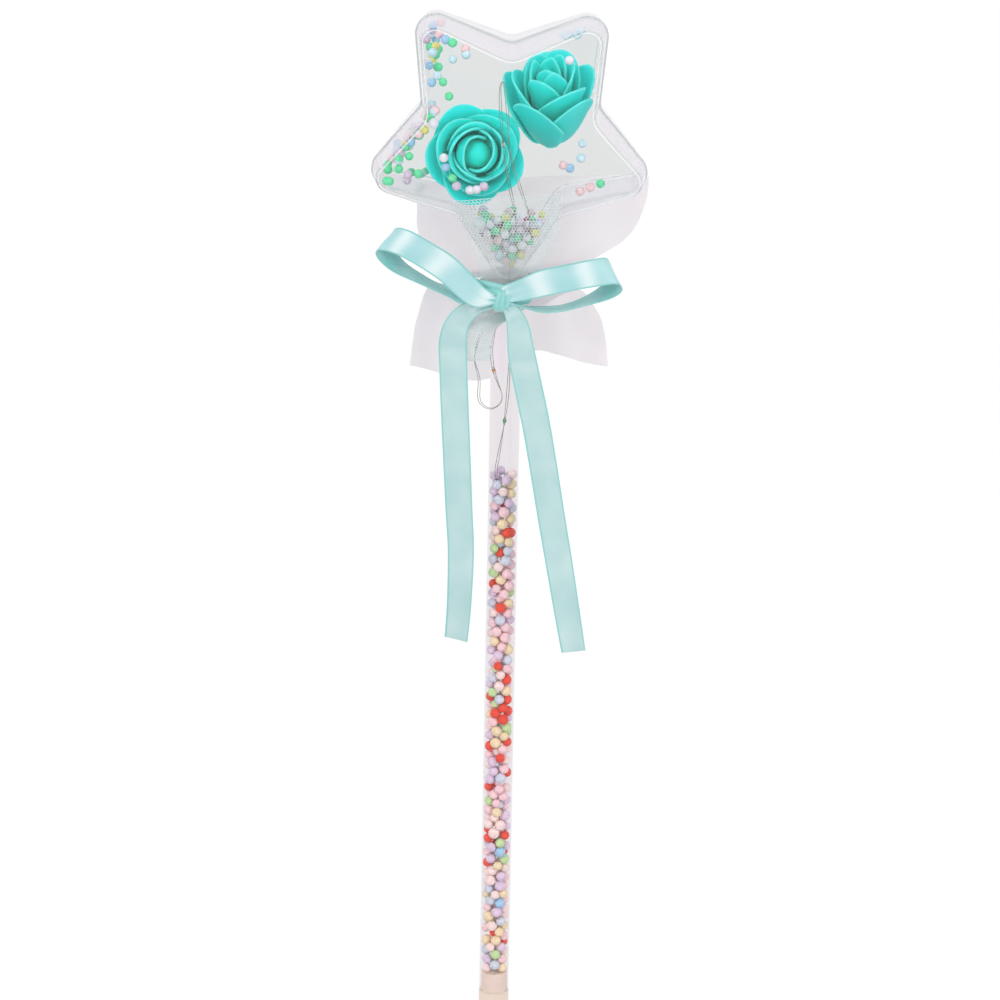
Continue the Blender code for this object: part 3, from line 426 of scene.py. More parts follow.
def nonwoven():
    """Spunbond nonwoven: a thin frosted sheet of bonded fibres that lets some light through; seen through
    clear plastic it also glows with painted light.
    """
    c = colours()
    mat, shader = plain_material("spunbond_nonwoven_white", 0.7, Specular_IOR_Level=0.2, Sheen_Weight=0.15)
    place = mottled(mat, shader, shade(c.wrap, 0.97), shade(c.wrap, 1.02), 6.0)
    stretch = node(mat, "ShaderNodeMapping", {"Vector": place, "Scale": (1.0, 1.0, 0.25)})
    bump(mat, shader, speckle(mat, stretch.outputs["Vector"], per_mm(0.6), 5.0), 0.12, 0.0002)
    through = node(mat, "ShaderNodeBsdfTranslucent", {"Color": (*c.wrap, 1.0)})
    mix = node(mat, "ShaderNodeMixShader", {0: 0.70, 1: shader.outputs["BSDF"], 2: through.outputs["BSDF"]})
    # Painted light: an emission that brightens the cloth only where it is seen through the star's clear
    # plastic
    path = node(mat, "ShaderNodeLightPath")
    crossed = maths(mat, "MULTIPLY", path.outputs["Is Glossy Ray"], path.outputs["Is Transmission Ray"])
    level = maths(mat, "MULTIPLY", crossed, PAINTED_GLOW_BEHIND_PLASTIC)
    glow = node(mat, "ShaderNodeEmission", {"Color": (*c.wrap, 1.0), "Strength": level})
    both = node(mat, "ShaderNodeAddShader", {0: mix.outputs["Shader"], 1: glow.outputs["Emission"]})
    show(mat, both.outputs["Shader"])
    return mat


def nylon_net():
    """Nylon tulle: fine smooth strands with a slight gloss."""
    c = colours()
    mat, shader = plain_material("nylon_tulle_mint", 0.35, Specular_IOR_Level=0.4)
    mottled(mat, shader, shade(c.net, 0.92), shade(c.net, 1.04), 3.0)
    return mat


def satin(name, colour, roughness, painted_glare):
    """Woven polyester satin: fine diagonal ribs, a tighter edge, painted sheen in soft patches along it, and
    pale bands of painted highlight.
    """
    mat, shader = plain_material(name, roughness, Specular_IOR_Level=0.6, Sheen_Weight=0.35,
                                 Sheen_Roughness=0.35, Anisotropic=0.5)
    uv = node(mat, "ShaderNodeUVMap", uv_map="cloth").outputs["UV"]
    across = node(mat, "ShaderNodeSeparateXYZ", {"Vector": uv}).outputs["X"]
    side = maths(mat, "ABSOLUTE", across)
    edge = node(mat, "ShaderNodeMapRange", {"Value": side, "From Min": 4.30, "From Max": 4.55})
    # Real ribs lie 0.15 mm apart; drawn at 0.5 mm so that they show
    turned = node(mat, "ShaderNodeMapping", {"Vector": uv, "Rotation": (0.0, 0.0, radians(32.0))})
    ribs = wave(mat, turned.outputs["Vector"], 0.63, 2.0, 2.0)
    # Painted sheen: soft lighter patches about 11 mm long along the ribbon, on top of the ribs
    ribs_and_painted_sheen = maths(mat, "MULTIPLY_ADD", ribs, 0.16, speckle(mat, uv, 0.09, 1.0))
    painted_sheen_colour = tuple(1 - (1 - part) * 0.85 for part in colour)
    weave_and_painted_sheen = colour_ramp(mat, ribs_and_painted_sheen, ((0.38, shade(colour, 0.97)), (0.80, painted_sheen_colour)))
    # Painted highlight: pale bands across the ribbon that turn it nearly white where strongest
    bands = wave(mat, uv, 0.0196, 1.5, 1.0, Detail_Scale=3.0, Phase_Offset=1.94)
    pale = maths(mat, "MULTIPLY", maths(mat, "POWER", bands, 2.0), painted_glare)
    with_painted_highlight = colour_mix(mat, pale, weave_and_painted_sheen, (0.93, 0.98, 0.98, 1.0))
    body = colour_mix(mat, edge.outputs["Result"], with_painted_highlight, (*colours().ribbon_edge, 1.0))
    link(mat, body, shader.inputs["Base Color"])
    bump(mat, shader, ribs, 0.10, 0.0003)
    return mat


def lacquered_copper():
    """Thin lacquered copper wire: dark silver-brown, glossy."""
    mat, shader = plain_material("lacquered_copper_wire", 0.28, Metallic=1.0)
    mottled(mat, shader, linear("#6E746E"), linear("#A3A39A"), 2.5)
    return mat


def led_resin():
    """Clear epoxy drop cast round the LED chip."""
    mat, shader = plain_material("epoxy_led_drop", 0.08, Transmission_Weight=0.9, IOR=1.05, Coat_Weight=0.5)
    mottled(mat, shader, linear("#D5DCD6"), linear("#EDF1EC"), 1.0)
    return mat


def led_phosphor(name, hex_code):
    """Phosphor over the LED chip: chalky and strongly coloured."""
    mat, shader = plain_material("phosphor_" + name, 0.6)
    mottled(mat, shader, shade(linear(hex_code), 0.85), linear(hex_code), 0.4)
    return mat


def moulded_plastic(name, colour, roughness, grain):
    """Moulded ABS or nylon: even colour with a fine spark-eroded grain."""
    mat, shader = plain_material(name, roughness, Specular_IOR_Level=0.4)
    place = mottled(mat, shader, shade(colour, 0.96), shade(colour, 1.03), 8.0)
    bump(mat, shader, speckle(mat, place, per_mm(grain), 2.0), 0.08, 0.0001)
    return mat


def plated_metal(name, first, second):
    """Plated sheet metal: bright, and rougher in fine spots."""
    mat, shader = plain_material(name, 0.25, Metallic=1.0)
    place = mottled(mat, shader, linear(first), linear(second), 2.0)
    roughen(mat, shader, speckle(mat, place, per_mm(0.3), 4.0), 0.18, 0.36)
    return mat


def seen_level(owner):
    """1 for rays from the camera or a mirror, less for rays through clear plastic or thin cloth, else 0."""
    path = node(owner, "ShaderNodeLightPath")
    glossy = path.outputs["Is Glossy Ray"]
    crossed = path.outputs["Is Transmission Ray"]
    mirror = maths(owner, "SUBTRACT", glossy, crossed)
    direct = maths(owner, "MAXIMUM", path.outputs["Is Camera Ray"], mirror)
    # A ray through clear plastic counts as glossy too, and one through cloth does not
    extra = SEEN_THROUGH_PLASTIC - SEEN_THROUGH_CLOTH
    dimming = maths(owner, "MULTIPLY_ADD", glossy, extra, SEEN_THROUGH_CLOTH)
    return maths(owner, "MAXIMUM", direct, maths(owner, "MULTIPLY", crossed, dimming))


def studio_paper():
    """White paper floor: the camera, mirrors and glass see it bright, and it keeps a soft shadow."""
    mat, shader = plain_material("studio_paper", 0.9, Specular_IOR_Level=0.0, Base_Color=(0.9, 0.9, 0.9, 1.0))
    level = seen_level(mat)
    most = maths(mat, "MULTIPLY", maths(mat, "GREATER_THAN", level, 0.0), 0.90)
    lift = maths(mat, "MULTIPLY", level, 1.03)
    bright = node(mat, "ShaderNodeEmission", {"Color": (1.0, 1.0, 1.0, 1.0), "Strength": lift})
    shades = {0: most, 1: shader.outputs["BSDF"], 2: bright.outputs["Emission"]}
    mix = node(mat, "ShaderNodeMixShader", shades)
    show(mat, mix.outputs["Shader"])
    return mat


# Mesh helpers
def add_object(name, data):
    obj = bpy.data.objects.new(name, data)
    bpy.context.scene.collection.objects.link(obj)
    return obj


def mesh_from(name, bm):
    """Turn a bmesh into a mesh and free it."""
    mesh = bpy.data.meshes.new(name)
    bm.to_mesh(mesh)
    bm.free()
    return mesh


def smooth(mesh, sharp):
    """Shade a mesh smooth, apart from edges sharper than so many degrees."""
    mesh.shade_smooth()
    mesh.set_sharp_from_angle(angle=radians(sharp))


def add_piece(name, bm, mats, nodes=(), body="stick", sharp=40.0):
    """Turn a bmesh into a piece of the object that rides on a body and stands for CAD nodes."""
    mesh = mesh_from(name, bm)
    smooth(mesh, sharp)
    for mat in mats:
        mesh.materials.append(mat)
    obj = add_object(name, mesh)
    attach(obj, body)
    if nodes:
        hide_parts(*nodes)
    return obj


def settle(obj, sharp=40.0):
    """Apply the piece's modifiers to its mesh."""
    graph = bpy.context.evaluated_depsgraph_get()
    mesh = bpy.data.meshes.new_from_object(obj.evaluated_get(graph))
    obj.modifiers.clear()
    obj.data = mesh
    smooth(mesh, sharp)


def lathe(bm, profile, sides, flutes=0, flute_depth=0.0):
    """Turn a ring-shaped or pole-to-pole profile of (radius, z) about Z; points marked True carry flutes."""
    rings = []
    for point in profile:
        r, z = point[0], point[1]
        if r == 0.0:
            rings.append([bm.verts.new((0.0, 0.0, z))])
            continue
        ring = []
        for i in range(sides):
            a = 2 * pi * i / sides
            cut = flute_depth * (0.5 + 0.5 * cos(flutes * a)) if len(point) > 2 else 0.0
            ring.append(bm.verts.new(((r - cut) * cos(a), (r - cut) * sin(a), z)))
        rings.append(ring)
    pairs = list(zip(rings, rings[1:]))
    if profile[0][0] and profile[-1][0]:
        pairs.append((rings[-1], rings[0]))
    for low, high in pairs:
        for i in range(sides):
            j = (i + 1) % sides
            corners = []
            for ring, at in ((low, i), (low, j), (high, j), (high, i)):
                vert = ring[at % len(ring)]
                if vert not in corners:
                    corners.append(vert)
            if len(corners) > 2:
                bm.faces.new(corners)
    bmesh.ops.recalc_face_normals(bm, faces=bm.faces)


def sweep(bm, path, radius, sides=6):
    """A round wire along a path of points."""
    points = [Vector(p) for p in path]
    ahead = (points[1] - points[0]).normalized()
    side = ahead.orthogonal().normalized()
    rings = []
    for i, point in enumerate(points):
        along = (points[min(i + 1, len(points) - 1)] - points[max(i - 1, 0)]).normalized()
        side = (side - along * side.dot(along)).normalized()
        up = along.cross(side)
        ring = []
        for k in range(sides):
            a = 2 * pi * k / sides
            ring.append(bm.verts.new(point + side * radius * cos(a) + up * radius * sin(a)))
        rings.append(ring)
    for low, high in zip(rings, rings[1:]):
        for k in range(sides):
            j = (k + 1) % sides
            bm.faces.new((low[k], low[j], high[j], high[k]))
    bm.faces.new(rings[0][::-1])
    bm.faces.new(rings[-1])


def smooth_path(points, spacing):
    """Points read from a Catmull-Rom curve through the given points."""
    knots = [Vector(p) for p in points]
    knots = [2 * knots[0] - knots[1]] + knots + [2 * knots[-1] - knots[-2]]
    path = []
    for a, b, c, d in zip(knots, knots[1:], knots[2:], knots[3:]):
        steps = max(1, ceil((c - b).length / spacing))
        for i in range(steps):
            t = i / steps
            path.append(0.5 * (2 * b + (c - a) * t + (2 * a - 5 * b + 4 * c - d) * t ** 2
                               + (3 * b - a - 3 * c + d) * t ** 3))
    path.append(knots[-2])
    return path


def twin_paths(path, apart, pitch):
    """Two strands that wind slowly round a path."""
    pair = ([], [])
    gone = 0.0
    side = (path[1] - path[0]).orthogonal().normalized()
    for i, point in enumerate(path):
        along = (path[min(i + 1, len(path) - 1)] - path[max(i - 1, 0)]).normalized()
        side = (side - along * side.dot(along)).normalized()
        if i:
            gone += (point - path[i - 1]).length
        a = 2 * pi * gone / pitch
        offset = (side * cos(a) + along.cross(side) * sin(a)) * apart / 2
        pair[0].append(point + offset)
        pair[1].append(point - offset)
    return pair


def blend_rows(rows, v):
    """Smooth values between rows of numbers, v from 0 at the first row to 1 at the last."""
    place = v * (len(rows) - 1)
    i = min(int(place), len(rows) - 2)
    t = place - i
    before = rows[max(i - 1, 0)]
    after = rows[min(i + 2, len(rows) - 1)]
    values = []
    for a, b, c, d in zip(before, rows[i], rows[i + 1], after):
        m1 = (c - a) / 2
        m2 = (d - b) / 2
        values.append((2 * t ** 3 - 3 * t ** 2 + 1) * b + (t ** 3 - 2 * t ** 2 + t) * m1
                      + (3 * t ** 2 - 2 * t ** 3) * c + (t ** 3 - t ** 2) * m2)
    return values


def even_rows(surface, steps=400):
    """A function from a share of the sheet's length to v, even along its middle; and that length."""
    points = [surface(0.0, 1 - 2 * i / steps) for i in range(steps + 1)]
    gone = [0.0]
    for a, b in zip(points, points[1:]):
        gone.append(gone[-1] + (b - a).length)

    def v_at(share):
        goal = share * gone[-1]
        i = 0
        while i < steps - 1 and gone[i + 1] < goal:
            i += 1
        part = (goal - gone[i]) / max(gone[i + 1] - gone[i], 1e-9)
        return 1 - 2 * (i + part) / steps
    return v_at, gone[-1]


def sheet_length(surface, steps=200):
    """Length of a sheet along its middle, in u."""
    points = [surface(-1 + 2 * i / steps, 0.0) for i in range(steps + 1)]
    return sum((b - a).length for a, b in zip(points, points[1:]))


def grid_sheet(surface, columns, rows, layer, uv_of):
    """A grid over surface(u, v), u and v from -1 to 1, with a UV map."""
    bm = bmesh.new()
    uv = bm.loops.layers.uv.new(layer)
    verts = []
    places = {}
    for j in range(rows + 1):
        v = 1 - 2 * j / rows
        for i in range(columns + 1):
            u = -1 + 2 * i / columns
            vert = bm.verts.new(surface(u, v))
            places[vert] = uv_of(u, v)
            verts.append(vert)
    across = columns + 1
    for j in range(rows):
        for i in range(columns):
            a = j * across + i
            bm.faces.new((verts[a], verts[a + across], verts[a + across + 1], verts[a + 1]))
    for face in bm.faces:
        for loop in face.loops:
            loop[uv].uv = places[loop.vert]
    return bm


def thicken(obj, thickness, rounding=0):
    """Give a sheet its thickness, centred; its back takes the second material, if it has one."""
    mod = obj.modifiers.new("thickness", "SOLIDIFY")
    mod.thickness = thickness
    mod.offset = 0.0
    mod.use_even_offset = True
    mod.material_offset = len(obj.data.materials) - 1
    if rounding:
        rounder = obj.modifiers.new("rounding", "SUBSURF")
        rounder.levels = rounding
        rounder.render_levels = rounding
    settle(obj)


# Stage
def look_at(obj, place, target):
    obj.location = place
    obj.rotation_mode = "QUATERNION"
    obj.rotation_quaternion = (Vector(target) - Vector(place)).to_track_quat("-Z", "Y")


class LIGHTSTICK_OT_stage(bpy.types.Operator):
    """Make the camera, the paper floor, the soft lights and the world"""
    bl_idname = "light_stick.stage"
    bl_label = "Stage"

    def execute(self, context):
        scene = context.scene
        scene.view_settings.view_transform = "Standard"
        lens = bpy.data.cameras.new("photo_camera")
        lens.lens = CAMERA_LENS
        lens.clip_end = 100.0
        camera = add_object("photo_camera", lens)
        e = radians(CAMERA_ELEVATION)
        aim = Vector(CAMERA_AIM)
        look_at(camera, aim + Vector((0.0, -cos(e), sin(e))) * CAMERA_DISTANCE, aim)
        roll = Quaternion((0.0, 0.0, 1.0), radians(CAMERA_ROLL))
        camera.rotation_quaternion = camera.rotation_quaternion @ roll
        scene.camera = camera

        bm = bmesh.new()
        bmesh.ops.create_grid(bm, x_segments=1, y_segments=1, size=FLOOR_SIZE)
        mesh = mesh_from("paper_floor", bm)
        mesh.materials.append(studio_paper())
        floor = add_object("paper_floor", mesh)

        for name, (place, size, power) in LAMPS.items():
            light = bpy.data.lights.new(name, "AREA")
            light.size = size
            light.energy = power
            look_at(add_object(name, light), place, LAMP_AIM)

        world = bpy.data.worlds.new("white_studio")
        scene.world = world
        world.use_nodes = True
        back = world.node_tree.nodes["Background"]
        back.inputs["Color"].default_value = (1.0, 1.0, 1.0, 1.0)
        link(world, maths(world, "MAXIMUM", seen_level(world), WORLD_LIGHT), back.inputs["Strength"])
        return {"FINISHED"}


# LED string: the wire's points in the star above the tube's top, and in the slack loop below the neck
STAR_WIRE_POINTS = [
    (0.0010, -0.0058, 0.0050), (0.0022, -0.0112, 0.0110), (0.0026, -0.0152, 0.0205),
    (0.0008, -0.0165, 0.0300), (-0.0016, -0.0168, 0.0415), (-0.0023, -0.0168, 0.0480),
    (-0.0030, -0.0168, 0.0545), (-0.0036, -0.0162, 0.0630), (-0.0037, -0.0156, 0.0680),
    (-0.0029, -0.0152, 0.0700), (-0.0020, -0.0156, 0.0680), (-0.0010, -0.0164, 0.0590),
    (0.0004, -0.0168, 0.0440), (0.0040, -0.0165, 0.0320), (0.0074, -0.0152, 0.0210),
    (0.0062, -0.0110, 0.0120), (0.0036, -0.0060, 0.0060), (0.0022, -0.0030, 0.0006)]
STAR_LED_AT = 5
SLACK_LOOP_POINTS = [
    (-0.0046, -0.0047, -0.0008), (-0.0074, -0.0068, -0.0070), (-0.0104, -0.0079, -0.0150),
    (-0.0110, -0.0080, -0.0205), (-0.0094, -0.0080, -0.0270), (-0.0093, -0.0080, -0.0345),
    (-0.0074, -0.0080, -0.0374), (-0.0045, -0.0080, -0.0382), (-0.0017, -0.0080, -0.0362),
    (-0.0011, -0.0080, -0.0330), (-0.0028, -0.0080, -0.0282), (-0.0042, -0.0080, -0.0240),
    (-0.0049, -0.0080, -0.0200), (-0.0050, -0.0078, -0.0150), (-0.0034, -0.0073, -0.0070),
    (-0.0012, -0.0065, -0.0008)]
SLACK_LED_AT = 11
STRAND_PITCH = 0.055
STRANDS_APART = 0.0008
LOOP_SPACING = 0.0008
WIRE_SPACING = 0.0012
LED_HALF = 0.0016
LED_WAIST = 0.00075
LED_RINGS = 12
LED_CHIP = 0.0011


def add_wire(name, path, copper, node_name):
    """Two strands of lacquered wire along a path."""
    bm = bmesh.new()
    for line in twin_paths(path, STRANDS_APART, STRAND_PITCH):
        sweep(bm, line, sizes().wire_strand)
    return add_piece(name, bm, [copper], [node_name])


def led_drop(name, node_name, place, along, chip):
    """A resin drop cast round the two strands, with the LED chip in it."""
    bm = bmesh.new()
    profile = [(0.0, -LED_HALF)]
    for i in range(1, LED_RINGS):
        t = i / LED_RINGS
        profile.append((LED_WAIST * sin(pi * t) ** 0.8 * (1.08 - 0.16 * t), -LED_HALF + 2 * LED_HALF * t))
    profile.append((0.0, LED_HALF))
    lathe(bm, profile[::-1], 20)
    shell = len(bm.faces)
    bmesh.ops.create_cube(bm, size=LED_CHIP, matrix=Matrix.Diagonal((1.0, 1.0, 0.7, 1.0)))
    bm.faces.ensure_lookup_table()
    for face in bm.faces[shell:]:
        face.material_index = 1
    turn = Vector((0.0, 0.0, 1.0)).rotation_difference(along).to_matrix().to_4x4()
    bmesh.ops.transform(bm, matrix=Matrix.Translation(place) @ turn, verts=bm.verts)
    return add_piece(name, bm, [led_resin(), led_phosphor(*chip)], [node_name])


class LIGHTSTICK_OT_led_string(bpy.types.Operator):
    """Make the slack loop, the wire through tube and star, and the LED drops"""
    bl_idname = "light_stick.led_string"
    bl_label = "LED string"

    def execute(self, context):
        copper = lacquered_copper()
        loop = [Vector(p) + Vector((0.0, 0.0, NECK_Z)) for p in SLACK_LOOP_POINTS]
        path = smooth_path(loop, LOOP_SPACING)
        wire = add_wire("slack_loop_wire", path, copper, "led_slack_loop")
        led = led_drop("slack_loop_drop", "slack_loop_led", loop[SLACK_LED_AT],
                       loop[SLACK_LED_AT + 1] - loop[SLACK_LED_AT - 1], ("amber", "#F0A24A"))

        star = [Vector(p) + Vector((0.0, 0.0, TUBE_TOP_Z)) for p in STAR_WIRE_POINTS]
        drop = Vector((0.0, -WIRE_OFFSET, TUBE_LED_Z))
        riser = [
            Vector((0.0, -WIRE_OFFSET, CASE_TOP_Z - 0.002)), Vector((0.0, -WIRE_OFFSET, PLUG_TOP_Z)),
            Vector((0.0, 0.0030, PLUG_TOP_Z + 0.012)), Vector((0.0, 0.0030, COLUMN_TOP_Z - 0.030)),
            Vector((-0.0026, -0.0022, COLUMN_TOP_Z - 0.004)),
            Vector((-0.0020, -WIRE_OFFSET + 0.0004, COLUMN_TOP_Z + 0.004)), drop,
            drop + Vector((0.0012, 0.0, 0.016)), Vector((0.0012, -WIRE_OFFSET, TUBE_TOP_Z - 0.018)),
            Vector((0.0005, -WIRE_OFFSET, TUBE_TOP_Z))]
        add_wire("led_wire_pair", smooth_path(riser + star, WIRE_SPACING), copper, "led_wire")
        led_drop("star_led_drop", "star_led", star[STAR_LED_AT],
                 star[STAR_LED_AT + 1] - star[STAR_LED_AT - 1], ("ivory", "#D9DCD0"))
        led_drop("tube_led_drop", "tube_led", drop, Vector((0.0, 0.0, 1.0)), ("green", "#2FB57C"))
        return {"FINISHED"}


# Star
def depth_share(x, z):
    """Share of the star's depth at a place from its middle: the arms thin toward their tips."""
    t = min(max((hypot(x, z) - TAPER_START) / TAPER_REACH, 0.0), 1.0)
    return 1 - TIP_THINNING * t * t * (3 - 2 * t)


def on_arc(centre_r, centre_a, r, a):
    """A point of a fillet whose centre lies at a radius and an angle."""
    return centre_r * cos(centre_a) + r * cos(a), centre_r * sin(centre_a) + r * sin(a)


def star_outline(inset, tip_steps=14, notch_steps=10, side_steps=5):
    """The star's rounded outline, moved in by inset; one point hangs down and the upper arms stand wider."""
    points = []
    for k in range(STAR_POINTS):
        tip = -pi / 2 + k * STAR_SPACING
        for i in range(tip_steps + 1):
            a = tip - EDGE_TURN + 2 * EDGE_TURN * i / tip_steps
            points.append(on_arc(TIP_CENTRE_R, tip, STAR_TIP_FILLET - inset, a))
        notch = tip + STAR_SPACING / 2
        for i in range(notch_steps + 1):
            a = tip + EDGE_TURN + (STAR_SPACING - 2 * EDGE_TURN) * i / notch_steps
            points.append(on_arc(NOTCH_CENTRE_R, notch, -STAR_NOTCH_FILLET - inset, a))
    # The straight sides are divided too, so that the shells follow the thinning of the arms
    period = tip_steps + notch_steps + 2
    outline = []
    for i, (x, z) in enumerate(points):
        next_x, next_z = points[(i + 1) % len(points)]
        steps = side_steps if i % period in (tip_steps, period - 1) else 1
        outline += [(x + (next_x - x) * k / steps, z + (next_z - z) * k / steps) for k in range(steps)]
    return [(x * (1 + UPPER_ARM_SPREAD * z), z) for x, z in outline]


# Strips round a shell, counted from its seam: 1 is the bright edge, a painted highlight; 2 the grey edge, a
# painted dark line; and 3 the side wall, milky with painted light
PAINTED_EDGE_STRIPS = {1: 2, 2: 3, 3: 3, 4: 3, 7: 1}


def star_shell(side):
    """One clear half with its wall and its lip at the seam: side -1 is the front, +1 the back."""
    wall = sizes().star_wall
    seam = GAP / 2
    edge_y = STAR_HALF_DEPTH - STAR_EDGE_R
    bends = 6
    lip_end = seam + SEAM_LIP_WIDTH
    slope = STAR_DRAFT / (edge_y - seam)
    outer = [(-SEAM_LIP, seam), (-SEAM_LIP, lip_end - SEAM_LIP), (slope * (lip_end - seam), lip_end),
             (STAR_DRAFT, edge_y)]
    inner = [(wall, seam), (STAR_DRAFT + wall, edge_y)]
    inner_r = STAR_EDGE_R - wall
    for i in range(1, bends + 1):
        a = pi / 2 * i / bends
        outer.append((STAR_DRAFT + STAR_EDGE_R * (1 - cos(a)), edge_y + STAR_EDGE_R * sin(a)))
        inner.append((STAR_DRAFT + wall + inner_r * (1 - cos(a)), edge_y + inner_r * sin(a)))
    face_inset = STAR_DRAFT + STAR_EDGE_R + GAP
    face_rings = 12
    shrinking = [1 - i / face_rings for i in range(face_rings)]

    def with_face(profile, depth):
        """A profile as (inset, depth, scale), carried on over the face by shrinking rings."""
        return [(inset, y, 1.0) for inset, y in profile] + [(face_inset, depth, s) for s in shrinking]

    around = with_face(outer, STAR_HALF_DEPTH)
    within = with_face(inner, STAR_HALF_DEPTH - wall)
    bm = bmesh.new()

    def vertex(x, y, z):
        return bm.verts.new((x, side * (seam + (y - seam) * depth_share(x, z)), STAR_Z + z))

    rings = []
    for inset, y, scale in within[::-1] + around:
        rings.append([vertex(x * scale, y, z * scale) for x, z in star_outline(inset)])
    painted_edge_strips = {len(within) + at: index for at, index in PAINTED_EDGE_STRIPS.items()}
    for k, (low, high) in enumerate(zip(rings, rings[1:])):
        for i in range(len(low)):
            face = bm.faces.new((low[i - 1], low[i], high[i], high[i - 1]))
            face.material_index = painted_edge_strips.get(k, 0)
    for ring, y in ((rings[0], STAR_HALF_DEPTH - wall), (rings[-1], STAR_HALF_DEPTH)):
        middle = vertex(0.0, y, 0.0)
        for i in range(len(ring)):
            bm.faces.new((ring[i - 1], ring[i], middle))
    bmesh.ops.recalc_face_normals(bm, faces=bm.faces)
    return bm


def add_cylinder(bm, radius, low, high):
    """Add a closed cylinder round the stick's axis."""
    bmesh.ops.create_cone(bm, cap_ends=True, segments=64, radius1=radius, radius2=radius, depth=high - low,
                          matrix=Matrix.Translation((0.0, 0.0, (low + high) / 2)))


def half_collar(name, side):
    bm = bmesh.new()
    add_cylinder(bm, COLLAR_R, NECK_Z, TUBE_TOP_Z)
    cut = bmesh.ops.bisect_plane(bm, geom=[*bm.verts, *bm.edges, *bm.faces], clear_outer=True,
                                 plane_co=(0.0, side * GAP / 2, 0.0), plane_no=(0.0, -side, 0.0))
    edges = [e for e in cut["geom_cut"] if isinstance(e, bmesh.types.BMEdge)]
    bmesh.ops.contextual_create(bm, geom=edges)
    bmesh.ops.recalc_face_normals(bm, faces=bm.faces)
    return add_object(name, mesh_from(name, bm))


def tube_bore():
    bm = bmesh.new()
    add_cylinder(bm, TUBE_R + GAP, NECK_Z - COLLAR_R, TUBE_TOP_Z + STAR_TIP_FILLET / 2)
    return add_object("tube_bore", mesh_from("tube_bore", bm))


class LIGHTSTICK_OT_star(bpy.types.Operator):
    """Make the two clear shells of the star with their half collars"""
    bl_idname = "light_stick.star"
    bl_label = "Star shells"

    def execute(self, context):
        # Painted light: the edge materials paint a highlight line, a dark line and a milky glow on the clear
        # wall
        plastics = [moulded_polystyrene("clear_polystyrene_moulded", colours().shell),
                    painted_light_edge("clear_polystyrene_painted_highlight_edge", "#FDFDFE", 0.45),
                    painted_light_edge("clear_polystyrene_painted_dark_edge", "#DDE1E2", 0.75),
                    painted_light_edge("clear_polystyrene_side_wall_painted_milky", "#F8F2FA", 0.68)]
        for name, side in (("star_front", -1), ("star_back", 1)):
            shell = add_piece(name, star_shell(side), plastics, [name + "_shell"])
            collar = half_collar(name + "_collar", side)
            bore = tube_bore()
            for other, operation in ((collar, "UNION"), (bore, "DIFFERENCE")):
                mod = shell.modifiers.new(operation, "BOOLEAN")
                mod.operation = operation
                mod.object = other
                mod.solver = "EXACT"
            settle(shell, 30.0)
            for other in (collar, bore):
                bpy.data.objects.remove(other, do_unlink=True)
            shell.visible_shadow = False
        return {"FINISHED"}


# Roses
def bezier(points, s):
    a, b, c, d = points
    return tuple((1 - s) ** 3 * p + 3 * (1 - s) ** 2 * s * q + 3 * (1 - s) * s ** 2 * r + s ** 3 * t
                 for p, q, r, t in zip(a, b, c, d))


def petal_surface(profile, spread, step, turn, rounding, seed):
    """A petal: one side is tucked inside its neighbour, and its rim falls away to the sides and curls out."""
    def surface(u, v):
        t = (v + 1) / 2
        s = t * (1 - rounding * abs(u) ** 1.9 * t * t)
        angle = u * spread
        r, z = bezier(profile, s)
        r1, z1 = bezier(profile, min(s + RUN_STEP, 1.0))
        r0, z0 = bezier(profile, max(s - RUN_STEP, 0.0))
        out = Vector((z1 - z0, r0 - r1)).normalized()
        layer = PETAL_TUCK * angle / step * (0.5 + 0.5 * t)
        curl = PETAL_CURL * (max(t - CURL_START, 0.0) / (1 - CURL_START)) ** 2
        ripple = PETAL_RIPPLE * t ** 3 * noise.noise(Vector((1.6 * u, 1.2 * t, seed)))
        r += out.x * (layer + curl + ripple)
        z += out.y * (layer + curl + ripple)
        return Vector((r * cos(turn + angle), r * sin(turn + angle), z))
    return surface


def rose_frame(place, facing, spin):
    up = Vector(facing).normalized()
    turn = Vector((0.0, 0.0, 1.0)).rotation_difference(up).to_matrix().to_4x4()
    centre = Vector(place) + Vector((0.0, 0.0, STAR_Z)) - up * RIM_HEIGHT
    return Matrix.Translation(centre) @ turn @ Matrix.Rotation(radians(spin), 4, "Z")


def cup_profile(points, cup, girth):
    """A ring's control points in metres: its root lowered by cup millimetres, its bowl and rim drawn in."""
    narrowing = (0.0, CUP_NARROWING, 0.0, CUP_CLOSING)
    profile = []
    for (r, z), share, narrow in zip(points, CUP_SHARES, narrowing):
        profile.append((r * (1 - narrow * cup) * girth / 1000, (z - cup * share) / 1000))
    return profile


def bud_core(bm, radius, cup):
    """The smooth heart of the rose on its post."""
    steps = 14
    profile = []
    for i in range(steps + 1):
        a = pi / 2 * (1 - i / steps)
        profile.append((radius * cos(a), BUD_Z + (BUD_TOP_Z - BUD_Z) * sin(a)))
    profile[0] = (0.0, BUD_TOP_Z)
    foot = BUD_Z - POST_LENGTH - cup / 1000
    profile += [(radius * 0.9, BUD_Z - BUD_FOOT), (POST_R, BUD_Z - BUD_NECK), (POST_R, foot), (0.0, foot)]
    lathe(bm, profile, 40)


